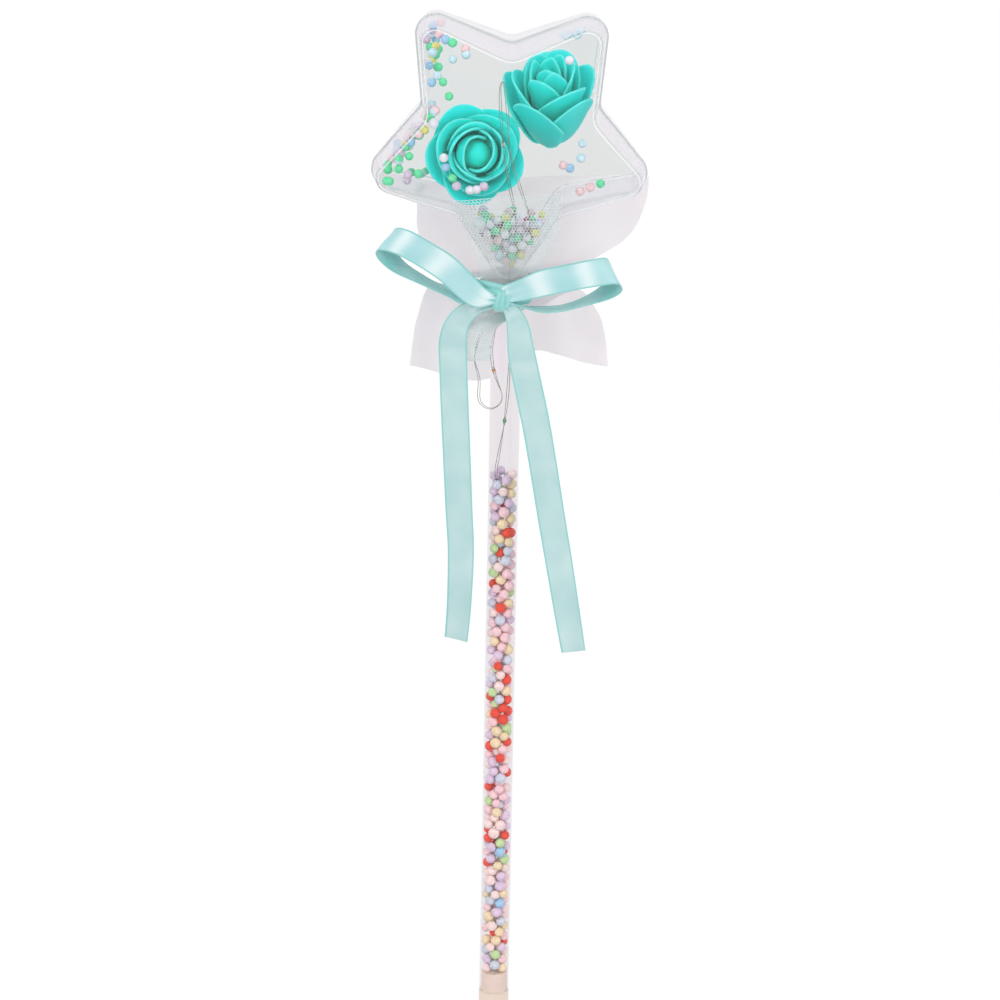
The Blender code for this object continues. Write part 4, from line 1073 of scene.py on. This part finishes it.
class LIGHTSTICK_OT_roses(bpy.types.Operator):
    """Make the two foam roses, petal by petal"""
    bl_idname = "light_stick.roses"
    bl_label = "Roses"

    def execute(self, context):
        foam = eva_foam()
        thick = sizes().petal
        for rose, (place, facing, spin, cup, girths) in ROSES.items():
            stand = rose_frame(place, facing, spin)
            seed = spin
            for girth, (ring, (count, spread, offset, rounding, profile)) in zip(girths, PETALS.items()):
                step = 2 * pi / count
                metres = cup_profile(profile, cup, girth)
                for k in range(count):
                    seed += SEED_STEP
                    turn = k * step + radians(offset)
                    surface = petal_surface(metres, radians(spread), step, turn, rounding, seed)
                    bm = grid_sheet(surface, *PETAL_CELLS, "petal", lambda u, v: ((u + 1) / 2, (v + 1) / 2))
                    bmesh.ops.transform(bm, matrix=stand, verts=bm.verts)
                    part = "bud" if ring in ("heart", "bud") else f"{ring}_petal_{k + 1}"
                    name = f"{rose}_{ring}_foam_{k + 1}"
                    petal = add_piece(name, bm, [foam], [f"{rose}_{part}"])
                    thicken(petal, thick, 1)
            bm = bmesh.new()
            bud_core(bm, BUD_R * girths[0], cup)
            bm.loops.layers.uv.new("petal")
            bmesh.ops.transform(bm, matrix=stand, verts=bm.verts)
            add_piece(rose + "_core_foam", bm, [foam], [rose + "_bud"])
        return {"FINISHED"}


# Foam beads
BEAD_DENT = 0.035
BEAD_PLAY = 0.0001
COLUMN_PLAY = 0.0010
# Newest beads that a falling bead may touch, and the share of the tube's beads that lie at its wall
BEADS_NEAR = 90
AT_WALL = 0.75


def bead_meshes(prefix, beads, nodes):
    """Beads as (x, y, z, radius, colour name), one piece for each colour."""
    by_colour = {}
    for bead in beads:
        by_colour.setdefault(bead[4], []).append(bead)
    for colour, group in by_colour.items():
        bm = bmesh.new()
        for x, y, z, r, _ in group:
            made = bmesh.ops.create_icosphere(bm, subdivisions=3, radius=r)["verts"]
            shift = Vector((x, y, z))
            for vert in made:
                dent = 1 + BEAD_DENT * noise.noise(vert.co * 900 + shift * 5000)
                vert.co = shift + vert.co * dent
        name = "polystyrene_bead_" + colour
        mat = bpy.data.materials.get(name) or bead_foam(colour)
        add_piece(f"{prefix}_{colour}", bm, [mat], nodes)


def pick(rng, mix):
    return rng.choices(list(mix), weights=list(mix.values()))[0]


def drop_bead(rng, beads, r, place, floor, tries=40):
    """Lower one bead at some tried places and keep the lowest rest."""
    best = None
    for _ in range(tries):
        x, y = place(r)
        z = floor(x, y, r)
        for bx, by, bz, br, _ in beads[-BEADS_NEAR:]:
            flat = hypot(x - bx, y - by)
            reach = r + br
            if flat < reach:
                z = max(z, bz + sqrt(reach * reach - flat * flat))
        if best is None or z < best[2]:
            best = (x, y, z)
    return best


class LIGHTSTICK_OT_tube_beads(bpy.types.Operator):
    """Fill the tube with foam beads, dropped one by one"""
    bl_idname = "light_stick.tube_beads"
    bl_label = "Tube beads"

    def execute(self, context):
        rng = Random(11)
        s = sizes()

        def place(r):
            reach = TUBE_BORE_R - r - BEAD_PLAY
            out = reach if rng.random() < AT_WALL else reach * sqrt(rng.random())
            a = rng.uniform(0.0, 2 * pi)
            return out * cos(a), out * sin(a)

        beads = []
        top = 0.0
        while top < COLUMN_TOP_Z - s.bead_small:
            r = rng.triangular(s.bead_small, s.bead_large, s.bead_small * 1.2)
            x, y, z = drop_bead(rng, beads, r, place, lambda px, py, pr: PLUG_TOP_Z + BEAD_PLAY + pr)
            if z + r > COLUMN_TOP_Z - COLUMN_PLAY:
                break
            top = max(top, z)
            beads.append((x, y, z, r, pick(rng, TUBE_MIX)))
        bead_meshes("tube_beads", beads, ["tube_bead_column"])
        return {"FINISHED"}


# Beads that cling to the star's front, in millimetres across and up from its middle
CLINGING = [
    (-23.0, 36.5, "blue"), (-20.8, 36.0, "leaf"), (-15.8, 32.0, "sky"), (-20.4, 30.2, "sky"),
    (-18.6, 39.0, "pink"), (-25.6, 24.3, "sky"), (-27.6, 21.8, "blue"), (-23.7, 22.3, "leaf"),
    (-21.5, 17.4, "leaf"), (-28.2, 12.6, "sky"), (-26.0, 12.2, "pink"), (-23.0, -4.8, "pearl"),
    (-22.4, -8.2, "blue"), (-19.9, -12.0, "leaf"), (-18.4, -14.9, "lavender"), (-13.7, -16.3, "pearl"),
    (-11.3, -16.0, "pearl"), (-8.8, -14.9, "lavender"), (20.2, 30.6, "pearl"), (25.4, 1.3, "sky"),
    (25.0, -4.0, "sky"), (18.8, -6.6, "pink"), (21.2, -7.7, "blue"), (24.9, -16.0, "pink"),
    (28.4, -14.5, "pink"), (32.0, -13.4, "leaf"), (-46.0, -8.0, "sky"), (-44.6, -7.4, "leaf"),
    (-38.8, -10.0, "leaf"), (-31.8, -11.0, "leaf"), (-35.4, -11.6, "lavender"), (-44.4, -15.4, "leaf"),
    (-42.0, -15.0, "leaf")]
# Loose groups behind them: middle across and up, half-width, half-height, how many, and their colours
SCATTERED = [
    (-27.2, 32.0, 3.4, 8.0, 17, STAR_MIX), (-30.0, 4.0, 3.5, 5.0, 13, STAR_MIX),
    (-38.0, -2.0, 6.5, 5.0, 15, STAR_MIX), (-43.5, -9.0, 4.0, 4.0, 7, STAR_MIX),
    (-33.0, -17.0, 6.0, 2.5, 4, STAR_MIX), (18.0, 36.0, 9.0, 4.0, 4, PALE_MIX)]
# The room inside the star's wall at its seam, as a fence of few points
FENCE_INSET = 0.0013
STAR_FENCE = star_outline(FENCE_INSET, tip_steps=6, notch_steps=3, side_steps=1)
WALL_PLAY = 0.0004
# A bead's reach toward the star's face, in radii, where the face slopes
FACE_LEAN = 1.25
# How far from the wall the loose beads may lie, the room that each rose takes, and how beads may touch
WALL_BELT = 0.0042
ROSE_REACH = 0.0175
ROSE_SINK = 0.004
BEAD_SQUEEZE = 0.98
SCATTER_TRIES = 900
# A clinging bead that meets the wall moves toward the star's middle by this share at a time
PULL_IN = 0.99
# The heap in the star's lower tip: how many beads, tries for each, half its width, and steps up the wall
HEAP_COUNT = 130
HEAP_TRIES = 14
HEAP_REACH = 0.0135
HEAP_LIFT = 0.0005
CLIMB = 0.0006


def star_room(x, z):
    """How far inside the star's fence a place is; negative outside it."""
    inside = False
    nearest = 1.0
    for (ax, az), (bx, bz) in zip(STAR_FENCE, STAR_FENCE[1:] + STAR_FENCE[:1]):
        if (az > z) != (bz > z) and x < (bx - ax) * (z - az) / (bz - az) + ax:
            inside = not inside
        dx, dz = bx - ax, bz - az
        t = min(max(((x - ax) * dx + (z - az) * dz) / (dx * dx + dz * dz), 0.0), 1.0)
        nearest = min(nearest, hypot(x - ax - t * dx, z - az - t * dz))
    return nearest if inside else -nearest


def wall_lean(y):
    """How far the drafted wall stands in from the fence at a depth, and a little play."""
    return WALL_PLAY + STAR_DRAFT * min(abs(y) / STAR_HALF_DEPTH / (1 - TIP_THINNING), 1.0)


class LIGHTSTICK_OT_star_beads(bpy.types.Operator):
    """Put the loose foam beads in the star: on its front, in its left arms and heaped in its lower tip"""
    bl_idname = "light_stick.star_beads"
    bl_label = "Star beads"

    def execute(self, context):
        rng = Random(23)
        s = sizes()
        inner_y = STAR_HALF_DEPTH - s.star_wall - BEAD_PLAY
        beads = []

        def clear(x, y, z, r):
            for place, facing, _spin, _cup, _girths in ROSES.values():
                away = Vector((x, y, z - STAR_Z)) - Vector(place) + Vector(facing).normalized() * ROSE_SINK
                if away.length < ROSE_REACH + r:
                    return False
            here = Vector((x, y, z))
            return all((here - Vector(b[:3])).length > (r + b[3]) * BEAD_SQUEEZE for b in beads)

        for x, z, colour in CLINGING:
            r = rng.uniform(s.bead_small, s.bead_small * 1.12)
            x, z = x / 1000, z / 1000
            while star_room(x, z) < r + wall_lean(STAR_HALF_DEPTH):
                x, z = x * PULL_IN, z * PULL_IN
            beads.append((x, FACE_LEAN * r - inner_y * depth_share(x, z), STAR_Z + z, r, colour))
        for mid_x, mid_z, half_x, half_z, count, mix in SCATTERED:
            put = 0
            for _ in range(SCATTER_TRIES):
                if put == count:
                    break
                x = (mid_x + rng.uniform(-half_x, half_x)) / 1000
                z = (mid_z + rng.uniform(-half_z, half_z)) / 1000
                y = rng.uniform(-0.8, 1.0) * (inner_y * depth_share(x, z) - FACE_LEAN * s.bead_large)
                r = rng.triangular(s.bead_small * 0.8, s.bead_large, s.bead_small)
                room = star_room(x, z)
                if wall_lean(y) < room - r < WALL_BELT and clear(x, y, STAR_Z + z, r):
                    beads.append((x, y, STAR_Z + z, r, pick(rng, mix)))
                    put += 1
        rng = Random(31)
        heap = []

        def place(r):
            x = rng.uniform(-HEAP_REACH, HEAP_REACH)
            return x, rng.uniform(-1.0, 0.6) * (inner_y * (1 - TIP_THINNING) - r)

        def floor(x, y, r):
            z = TUBE_TOP_Z + HEAP_LIFT + r if hypot(x, y) < TUBE_R + r else STAR_TIP_Z + r
            while star_room(x, z - STAR_Z) < r + wall_lean(y):
                z += CLIMB
            return z

        for _ in range(HEAP_COUNT):
            r = rng.triangular(s.bead_small * 0.85, s.bead_large * 0.9, s.bead_small)
            x, y, z = drop_bead(rng, heap, r, place, floor, HEAP_TRIES)
            heap.append((x, y, z, r, pick(rng, HEAP_MIX)))
        bead_meshes("star_beads", beads + heap, [f"loose_bead_{i}" for i in range(1, 9)])
        return {"FINISHED"}


# Stick: tube edge, case edge and grooves, cap and button
TUBE_EDGE = 0.0001
CASE_EDGE = 0.0003
CASE_SKIRT = 0.0006
CELL_R = 0.00395
GROOVES = 5
GROOVE_TOP = 0.0105
GROOVE_PITCH = 0.0016
GROOVE_DEPTH = 0.00025
SPIGOT_WALL = 0.0012
CAP_FLOOR = 0.0040
CAP_FLUTES = 24
FLUTE_DEPTH = 0.00035
BUTTON_R = 0.0024
BUTTON_STEM_R = 0.0012
BUTTON_FLANGE_R = 0.0030
FLANGE_LOW = 0.0043
FLANGE_HIGH = 0.0053


class LIGHTSTICK_OT_stick(bpy.types.Operator):
    """Make the clear tube and the handle: battery case, tail cap and push button"""
    bl_idname = "light_stick.stick"
    bl_label = "Tube and handle"

    def execute(self, context):
        acrylic = moulded_polystyrene("clear_acrylic_tube", colours().tube)
        bm = bmesh.new()
        edge = TUBE_EDGE
        lathe(bm, [(TUBE_R - edge, TUBE_TOP_Z), (TUBE_R, TUBE_TOP_Z - edge), (TUBE_R, TUBE_BOTTOM_Z + edge),
                   (TUBE_R - edge, TUBE_BOTTOM_Z), (TUBE_BORE_R + edge, TUBE_BOTTOM_Z),
                   (TUBE_BORE_R, TUBE_BOTTOM_Z + edge), (TUBE_BORE_R, TUBE_TOP_Z - edge),
                   (TUBE_BORE_R + edge, TUBE_TOP_Z)], 72)
        tube = add_piece("clear_tube", bm, [acrylic], ["stick_tube"])
        tube.visible_shadow = False
        self.make_handle()
        return {"FINISHED"}

    def make_handle(self):
        white = moulded_plastic("abs_white_moulded", colours().white, 0.38, 0.35)
        black = moulded_plastic("nylon_black_moulded", linear("#26282B"), 0.5, 0.3)
        case_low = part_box("battery_case")[0][2]
        cap_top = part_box("tail_cap")[1][2]
        cap_low = case_low - GAP
        board_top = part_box("switch_board")[1][2]
        contact_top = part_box("positive_contact")[1][2]
        skirt_r = TUBE_R - CASE_SKIRT
        spigot_r = skirt_r - GAP
        bore_r = CELL_R + GAP
        neck_r = TUBE_BORE_R - GAP
        edge = CASE_EDGE
        bm = bmesh.new()
        profile = [(0.0, PLUG_TOP_Z), (neck_r - edge, PLUG_TOP_Z), (neck_r, PLUG_TOP_Z - edge),
                   (neck_r, CASE_TOP_Z), (TUBE_R - edge, CASE_TOP_Z), (TUBE_R, CASE_TOP_Z - edge)]
        groove_r = TUBE_R - GROOVE_DEPTH
        for k in range(GROOVES):
            z = case_low + GROOVE_TOP - GROOVE_PITCH * k
            profile += [(TUBE_R, z), (groove_r, z - 0.0003), (groove_r, z - 0.0005), (TUBE_R, z - 0.0008)]
        profile += [(TUBE_R, case_low + edge), (TUBE_R - edge / 2, case_low), (skirt_r, case_low),
                    (skirt_r, board_top + GAP), (bore_r, board_top + GAP), (bore_r, contact_top + GAP),
                    (0.0, contact_top + GAP)]
        lathe(bm, profile, 72)
        add_piece("battery_case_abs", bm, [white], ["battery_case"])
        hole = BUTTON_R + GAP
        cavity = spigot_r - SPIGOT_WALL
        bm = bmesh.new()
        lathe(bm, [(spigot_r - edge, cap_top), (spigot_r, cap_top - edge), (spigot_r, cap_low),
                   (TUBE_R - edge, cap_low), (TUBE_R, cap_low - edge, True), (TUBE_R, 0.0010, True),
                   (TUBE_R - 0.0002, 0.0005), (TUBE_R - 0.0006, 0.0), (hole + 0.0002, 0.0), (hole, 0.0002),
                   (hole, CAP_FLOOR), (cavity, CAP_FLOOR), (cavity, cap_top)], 144, CAP_FLUTES, FLUTE_DEPTH)
        add_piece("tail_cap_abs", bm, [white], ["tail_cap"], "tail_cap")
        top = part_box("push_button")[1][2]
        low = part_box("push_button")[0][2]
        bm = bmesh.new()
        stem = BUTTON_STEM_R
        flange = BUTTON_FLANGE_R
        lathe(bm, [(0.0, top), (stem - 0.0002, top), (stem, top - 0.0002), (stem, FLANGE_HIGH),
                   (flange, FLANGE_HIGH), (flange, FLANGE_LOW), (BUTTON_R, FLANGE_LOW),
                   (BUTTON_R, low + 0.0004), (BUTTON_R - 0.0004, low), (stem, low + 0.00012),
                   (0.0, low + 0.0002)], 48)
        add_piece("push_button_nylon", bm, [black], ["push_button"], "push_button")
        steel = plated_metal("nickel_plated_steel", "#A9ACAE", "#C9CBCC")
        brass = plated_metal("spring_brass", "#B58E4C", "#D0AC66")
        green = moulded_plastic("board_green_lacquer", linear("#1E6B3C"), 0.35, 0.5)
        for name, mat in {"contact_spring": steel, "button_cell_1": steel, "button_cell_2": steel,
                          "button_cell_3": steel, "positive_contact": brass, "return_strip": brass,
                          "switch_board": green, "tact_switch": black}.items():
            mesh = NODES[name].data
            mesh.materials.clear()
            mesh.materials.append(mat)


# Wraps
def on_star(left, right, z_left, z_right, back, pleat):
    """A section that lies on the star's face: back is 1 behind the star and -1 before it."""
    ends = []
    for x, z in (((left + right) / 2, (z_left + z_right) / 2), (max(left, -right, key=abs), z_left)):
        ends.append(back * (STAR_HALF_DEPTH * depth_share(x, z) + SHEET_CLEARANCE))
    return (left, right, STAR_Z + z_left, STAR_Z + z_right, *ends, 0.0, pleat)


# How far outside the star's outline a sheet starts to lift over its wall
STAR_DRAPE = 0.004
GATHER_FOLD = 0.00012
TULLE_ACROSS = 0.036
# Sections from top to bottom: left and right ends, their heights, the depth at the middle and at the ends,
# the share of the gather round the collar, and the pleat depth
BACK_SECTIONS = [
    on_star(-0.0325, 0.0497, -0.0240, -0.0186, 1, 0.0004),
    on_star(-0.0326, 0.0488, -0.0315, -0.0280, 1, 0.0006),
    on_star(-0.0324, 0.0436, -0.0395, -0.0400, 1, 0.0005),
    on_star(-0.0296, 0.0330, -0.0478, -0.0480, 1, 0.0003),
    (-0.0200, 0.0205, SHELF_Z - 0.0026, SHELF_Z, 0.0146, 0.0070, 0.0, 0.0),
    (-0.0150, 0.0120, SHELF_Z - 0.0016, SHELF_Z - 0.0006, 0.0120, 0.0030, 0.3, 0.0),
    (-0.0080, 0.0080, NECK_Z + 0.0078, NECK_Z + 0.0078, GATHER_R, 0.0, 1.0, 0.0),
    (-0.0080, 0.0080, NECK_Z - 0.0004, NECK_Z - 0.0004, GATHER_R, 0.0, 1.0, 0.0),
    (-0.0150, 0.0150, NECK_Z - 0.0028, NECK_Z - 0.0028, 0.0100, 0.0030, 0.4, 0.0),
    (-0.0270, 0.0255, NECK_Z + 0.0032, NECK_Z + 0.0026, 0.0106, 0.0050, 0.0, 0.0010),
    (-0.0318, 0.0327, NECK_Z - 0.0085, NECK_Z - 0.0060, 0.0106, 0.0050, 0.0, 0.0013),
    (-0.0334, 0.0354, NECK_Z - 0.0180, NECK_Z - 0.0150, 0.0106, 0.0050, 0.0, 0.0015),
    (-0.0343, 0.0366, NECK_Z - 0.0268, NECK_Z - 0.0257, 0.0106, 0.0050, 0.0, 0.0016)]
# How many millimetres the wrap's hem hangs below its corners, at even steps from left to right
HEM_DROPS = [(0.0,), (3.4,), (6.2,), (7.3,), (3.0,), (-3.6,), (-3.0,), (-0.4,), (0.0,)]
HEM_START = -0.4
FRONT_SECTIONS = [
    on_star(-0.0208, 0.0183, -0.0193, -0.0156, -1, 0.0004),
    on_star(-0.0165, 0.0182, -0.0271, -0.0271, -1, 0.0008),
    on_star(-0.0128, 0.0168, -0.0371, -0.0371, -1, 0.0008),
    on_star(-0.0100, 0.0110, -0.0455, -0.0455, -1, 0.0004),
    (-0.0122, 0.0104, STAR_TIP_Z + 0.0016, STAR_TIP_Z + 0.0016, -0.0142, -0.0136, 0.0, 0.0),
    (-0.0116, 0.0096, SHELF_Z, SHELF_Z, -0.0122, -0.0105, 0.2, 0.0),
    (-0.0080, 0.0080, NECK_Z + 0.0078, NECK_Z + 0.0078, -GATHER_R, 0.0, 1.0, 0.0),
    (-0.0080, 0.0080, NECK_Z - 0.0004, NECK_Z - 0.0004, -GATHER_R, 0.0, 1.0, 0.0),
    (-0.0130, 0.0010, NECK_Z - 0.0035, NECK_Z - 0.0035, -0.0090, -0.0080, 0.3, 0.0),
    (-0.0180, -0.0040, NECK_Z - 0.0090, NECK_Z - 0.0090, -0.0100, -0.0096, 0.0, 0.0004),
    (-0.0180, -0.0057, NECK_Z - 0.0200, NECK_Z - 0.0197, -0.0100, -0.0096, 0.0, 0.0006)]
# Folds of the tulle that lie over it: top and bottom of each in millimetres across and up, and its width
TULLE_FOLDS = [((-10.7, 336.4), (-6.3, 323.7), 0.0040), ((16.1, 344.1), (13.0, 326.0), 0.0036)]


def fold_surface(top, low, width):
    """A narrow second layer of tulle before the first."""
    def surface(u, v):
        x = (low[0] + (top[0] - low[0]) * (v + 1) / 2) / 1000 + u * width / 2
        z = (low[1] + (top[1] - low[1]) * (v + 1) / 2) / 1000
        y = STAR_HALF_DEPTH * depth_share(x, z - STAR_Z) + 2 * SHEET_CLEARANCE + 0.0004 * cos(pi * u / 2)
        return Vector((x, -y, z))
    return surface


def wrap_surface(sections, gather_spread, pleats, back, wrinkle, hem):
    """A sheet gathered round the collar; hem is 1 where its lower edge waves and 0 where it is straight."""
    def surface(u, v):
        left, right, z_left, z_right, y_mid, y_end, gather, pleat = blend_rows(sections, (1 - v) / 2)
        gather = min(max(gather, 0.0), 1.0)
        t = (u + 1) / 2
        y = y_mid + (y_end - y_mid) * u * u
        flat = Vector((left + (right - left) * t, y, z_left + (z_right - z_left) * t))
        flat.y += back * pleat * (1 - cos(2 * pi * pleats * t)) / 2
        hang = max(HEM_START - v, 0.0) / (1 + HEM_START)
        flat.z -= hem * hang ** 2 * blend_rows(HEM_DROPS, t)[0] / 1000
        crease = noise.noise(Vector((flat.x * 90, flat.z * 35, 4.0 * back)))
        flat.y += back * wrinkle * (1 - gather) * (crease + 0.5)
        over = min(max(star_room(flat.x, flat.z - STAR_Z) / STAR_DRAPE + 1, 0.0), 1.0)
        on_face = STAR_HALF_DEPTH * depth_share(flat.x, flat.z - STAR_Z) + SHEET_CLEARANCE / 2
        flat.y += back * over * max(on_face - back * flat.y, 0.0)
        a = radians(gather_spread) * u
        fold = GATHER_FOLD * sin(17 * a) * gather
        ring = Vector(((GATHER_R + fold) * sin(a), back * (GATHER_R + fold) * cos(a), flat.z))
        return flat.lerp(ring, gather)
    return surface


def add_net(bm, surface, across, cell):
    """Add a hexagonal net over a surface; across is the cloth's width, and the length is returned."""
    v_at, along = even_rows(surface)
    side = cell / sqrt(3)
    columns = round(across / cell)
    rows = round(along / (1.5 * side))
    known = {}

    def corner(x, y):
        key = (round(x * 4000 / cell), round(y * 4000 / side))
        if key not in known:
            u = 2 * x / (columns + 0.5) / cell - 1
            share = y / (rows * 1.5 * side + 0.5 * side)
            known[key] = bm.verts.new(surface(min(max(u, -1.0), 1.0), v_at(min(max(share, 0.0), 1.0))))
        return known[key]

    for row in range(rows):
        for column in range(columns):
            x = (column + 0.5 + 0.5 * (row % 2)) * cell
            y = side + row * 1.5 * side
            ring = []
            for k in range(6):
                a = radians(30 + 60 * k)
                ring.append(corner(x + side * cos(a), y + side * sin(a)))
            bm.faces.new(ring)
    return along


class LIGHTSTICK_OT_wraps(bpy.types.Operator):
    """Make the nonwoven wrap behind the star and the tulle net over its lower front"""
    bl_idname = "light_stick.wraps"
    bl_label = "Wraps"

    def execute(self, context):
        s = sizes()
        back = wrap_surface(BACK_SECTIONS, gather_spread=95.0, pleats=4, back=1, wrinkle=0.0003, hem=1.0)
        bm = grid_sheet(back, 110, 150, "cloth", lambda u, v: (u, v))
        wrap = add_piece("nonwoven_wrap", bm, [nonwoven()], ["back_wrap"], sharp=80.0)
        thicken(wrap, s.wrap)

        front = wrap_surface(FRONT_SECTIONS, gather_spread=75.0, pleats=3, back=-1, wrinkle=0.0003, hem=0.0)
        bm = bmesh.new()
        along = add_net(bm, front, TULLE_ACROSS, s.net_cell)
        for top, low, width in TULLE_FOLDS:
            add_net(bm, fold_surface(top, low, width), width, s.net_cell)
        area = sum(face.calc_area() for face in bm.faces)
        tulle = add_piece("tulle_net", bm, [nylon_net()], ["front_tulle"], sharp=80.0)
        mod = tulle.modifiers.new("strands", "WIREFRAME")
        mod.thickness = s.net_strand
        mod.use_boundary = True
        mod.use_even_offset = False
        settle(tulle, 80.0)
        return {"FINISHED"}


# Ribbon
def loop_surface(rows):
    """A ribbon loop through rows of middles and ways across."""
    width = sizes().ribbon_width

    def surface(u, v):
        t = (u + 1) / 2
        x, y, z, ax, ay, az, share = blend_rows(rows, t)
        x1, y1, z1 = blend_rows(rows, min(t + RUN_STEP, 1.0))[:3]
        x0, y0, z0 = blend_rows(rows, max(t - RUN_STEP, 0.0))[:3]
        across = Vector((ax, ay, az)).normalized()
        normal = Vector((x1 - x0, y1 - y0, z1 - z0)).cross(across).normalized()
        crease = 0.0012 * (1 - share) * cos(8 * v + 0.5)
        crease += 0.0003 * noise.noise(Vector((6 * t, v, rows[0][0])))
        return Vector((x, y, z)) / 1000 + across * (v * width / 2 * share) + normal * crease
    return surface


def tail_surface(rows, depth, slant):
    """A hanging tail: its width lies square to its run and turns by the twist."""
    width = sizes().ribbon_width
    top = KNOT_MIDDLE.z

    def surface(u, v):
        t = (1 - v) / 2
        x, drop, share, twist = blend_rows(rows, t)
        x1, drop1 = blend_rows(rows, min(t + RUN_STEP, 1.0))[:2]
        x0, drop0 = blend_rows(rows, max(t - RUN_STEP, 0.0))[:2]
        run = Vector((x1 - x0, drop1 - drop0)).normalized()
        square = Vector((run.y, 0.0, run.x)) * cos(radians(twist)) + Vector((0.0, sin(radians(twist)), 0.0))
        y = depth + 0.0010 * sin(2 * pi * t) * t
        y -= 0.0006 * (1 - share) * cos(8 * u) + 0.0003 * (1 - u * u) * sin(9 * t + depth * 900)
        low = drop / 1000 + slant * u * width / 2 * t ** 6
        return Vector((x / 1000, y, top - low)) + square * (u * width / 2 * share)
    return surface


def knot_surface(u, v):
    """The strip that wraps the crossing: round in the YZ plane, pleated across and drawn in at its middle."""
    a = pi * (u + 0.5)
    depth = 0.17 * (1 - 0.8 * v * v) * (0.25 + 0.75 * cos(a) ** 2)
    pleat = 1 + depth * cos(10 * v + 1.2 * sin(a)) - 0.28 * v ** 4
    pleat += 0.10 * noise.noise(Vector((2 * cos(a), 2 * sin(a), 2.5 * v)))
    half = (KNOT_HIGH - KNOT_LOW) / 2
    drift = 0.0008 * sin(a)
    ring = Vector((v * KNOT_HALF_WIDTH + drift, half.y * 0.96 * pleat * cos(a), half.z * pleat * sin(a)))
    return KNOT_MIDDLE + KNOT_SHIFT + ring


def band_surface(u, v):
    """The strip round the neck, crumpled to less than its width."""
    a = pi * u
    t = (v + 1) / 2
    behind_knot = max(-cos(a - 0.3), 0.0) ** 4
    deep = 0.0009 * (1 - 0.8 * behind_knot)
    swell = deep * (0.5 - 0.5 * cos(2 * pi * (2.5 * t + 0.25 * sin(2 * a) + 0.1 * sin(5 * a))))
    r = BAND_R + BAND_THICK / 2 + swell
    return Vector((r * sin(a), r * cos(a), BAND_LOW_Z + (BAND_HIGH_Z - BAND_LOW_Z) * t))


class LIGHTSTICK_OT_ribbon(bpy.types.Operator):
    """Make the satin bow: neck band, knot, two loops and two tails"""
    bl_idname = "light_stick.ribbon"
    bl_label = "Satin bow"

    def execute(self, context):
        s = sizes()
        face = satin("polyester_satin_mint", colours().ribbon, 0.34, 0.10)
        # Painted light: the loops' face is a copy of the ribbon with strong painted highlight bands
        bow = satin("polyester_satin_bow_painted_bright", colours().ribbon_painted_bright, 0.30, 0.62)
        # Painted shade: the darker back lines the insides of the loops and covers the knot and the neck band
        back = satin("polyester_satin_back_painted_shade", colours().ribbon_back_painted_shade, 0.48, 0.12)
        half = s.ribbon_width * 500
        for name, rows in LOOPS.items():
            length = 1000 * sheet_length(loop_surface(rows))
            bm = grid_sheet(loop_surface(rows), 150, 14, "cloth", lambda u, v: (v * half, u * length / 2))
            outside = [back, bow] if name == "ribbon_left_loop" else [bow, back]
            self.add_strip(name, bm, outside, length / 1000, "folded")
        for name, (rows, depth, slant) in TAILS.items():
            surface = tail_surface(rows, depth, slant)
            length = 1000 * even_rows(surface)[1]
            bm = grid_sheet(surface, 14, 160, "cloth", lambda u, v: (u * half, v * length / 2))
            self.add_strip(name, bm, [face, back], length / 1000, "hung")
        bm = grid_sheet(knot_surface, 60, 24, "cloth", lambda u, v: (v * half, u * 12.0))
        self.add_strip("ribbon_knot", bm, [back], KNOT_LENGTH, "folded")
        bm = grid_sheet(band_surface, 160, 24, "cloth", lambda u, v: (v * half, u * 28.0))
        bmesh.ops.remove_doubles(bm, verts=bm.verts, dist=0.00002)
        self.add_strip("ribbon_neck_band", bm, [back], BAND_LENGTH, "gathered")
        return {"FINISHED"}

    def add_strip(self, name, bm, cloths, length, held):
        strip = add_piece(name + "_satin", bm, cloths, [name], sharp=80.0)
        thicken(strip, sizes().ribbon)


class LIGHTSTICK_PT_panel(bpy.types.Panel):
    """Lists the light stick's pieces and their sizes and colours"""
    bl_idname = "LIGHTSTICK_PT_panel"
    bl_label = "Light stick"
    bl_space_type = "VIEW_3D"
    bl_region_type = "UI"
    bl_category = "Light stick"

    def draw(self, context):
        for operator in OPERATORS:
            self.layout.operator(operator.bl_idname)
        for group in (context.scene.light_stick_sizes, context.scene.light_stick_colours):
            for key in group.__annotations__:
                self.layout.prop(group, key)


OPERATORS = (
    LIGHTSTICK_OT_stage, LIGHTSTICK_OT_led_string, LIGHTSTICK_OT_star, LIGHTSTICK_OT_roses,
    LIGHTSTICK_OT_stick, LIGHTSTICK_OT_tube_beads, LIGHTSTICK_OT_star_beads, LIGHTSTICK_OT_wraps,
    LIGHTSTICK_OT_ribbon)
CLASSES = (LightStickSizes, LightStickColours, *OPERATORS, LIGHTSTICK_PT_panel)


def register():
    for cls in CLASSES:
        bpy.utils.register_class(cls)
    bpy.types.Scene.light_stick_sizes = PointerProperty(type=LightStickSizes)
    bpy.types.Scene.light_stick_colours = PointerProperty(type=LightStickColours)


def unregister():
    del bpy.types.Scene.light_stick_colours
    del bpy.types.Scene.light_stick_sizes
    for cls in reversed(CLASSES):
        bpy.utils.unregister_class(cls)


def main():
    register()
    for operator in OPERATORS:
        group, name = operator.bl_idname.split(".")
        getattr(getattr(bpy.ops, group), name)()


if __name__ == "__main__":
    main()
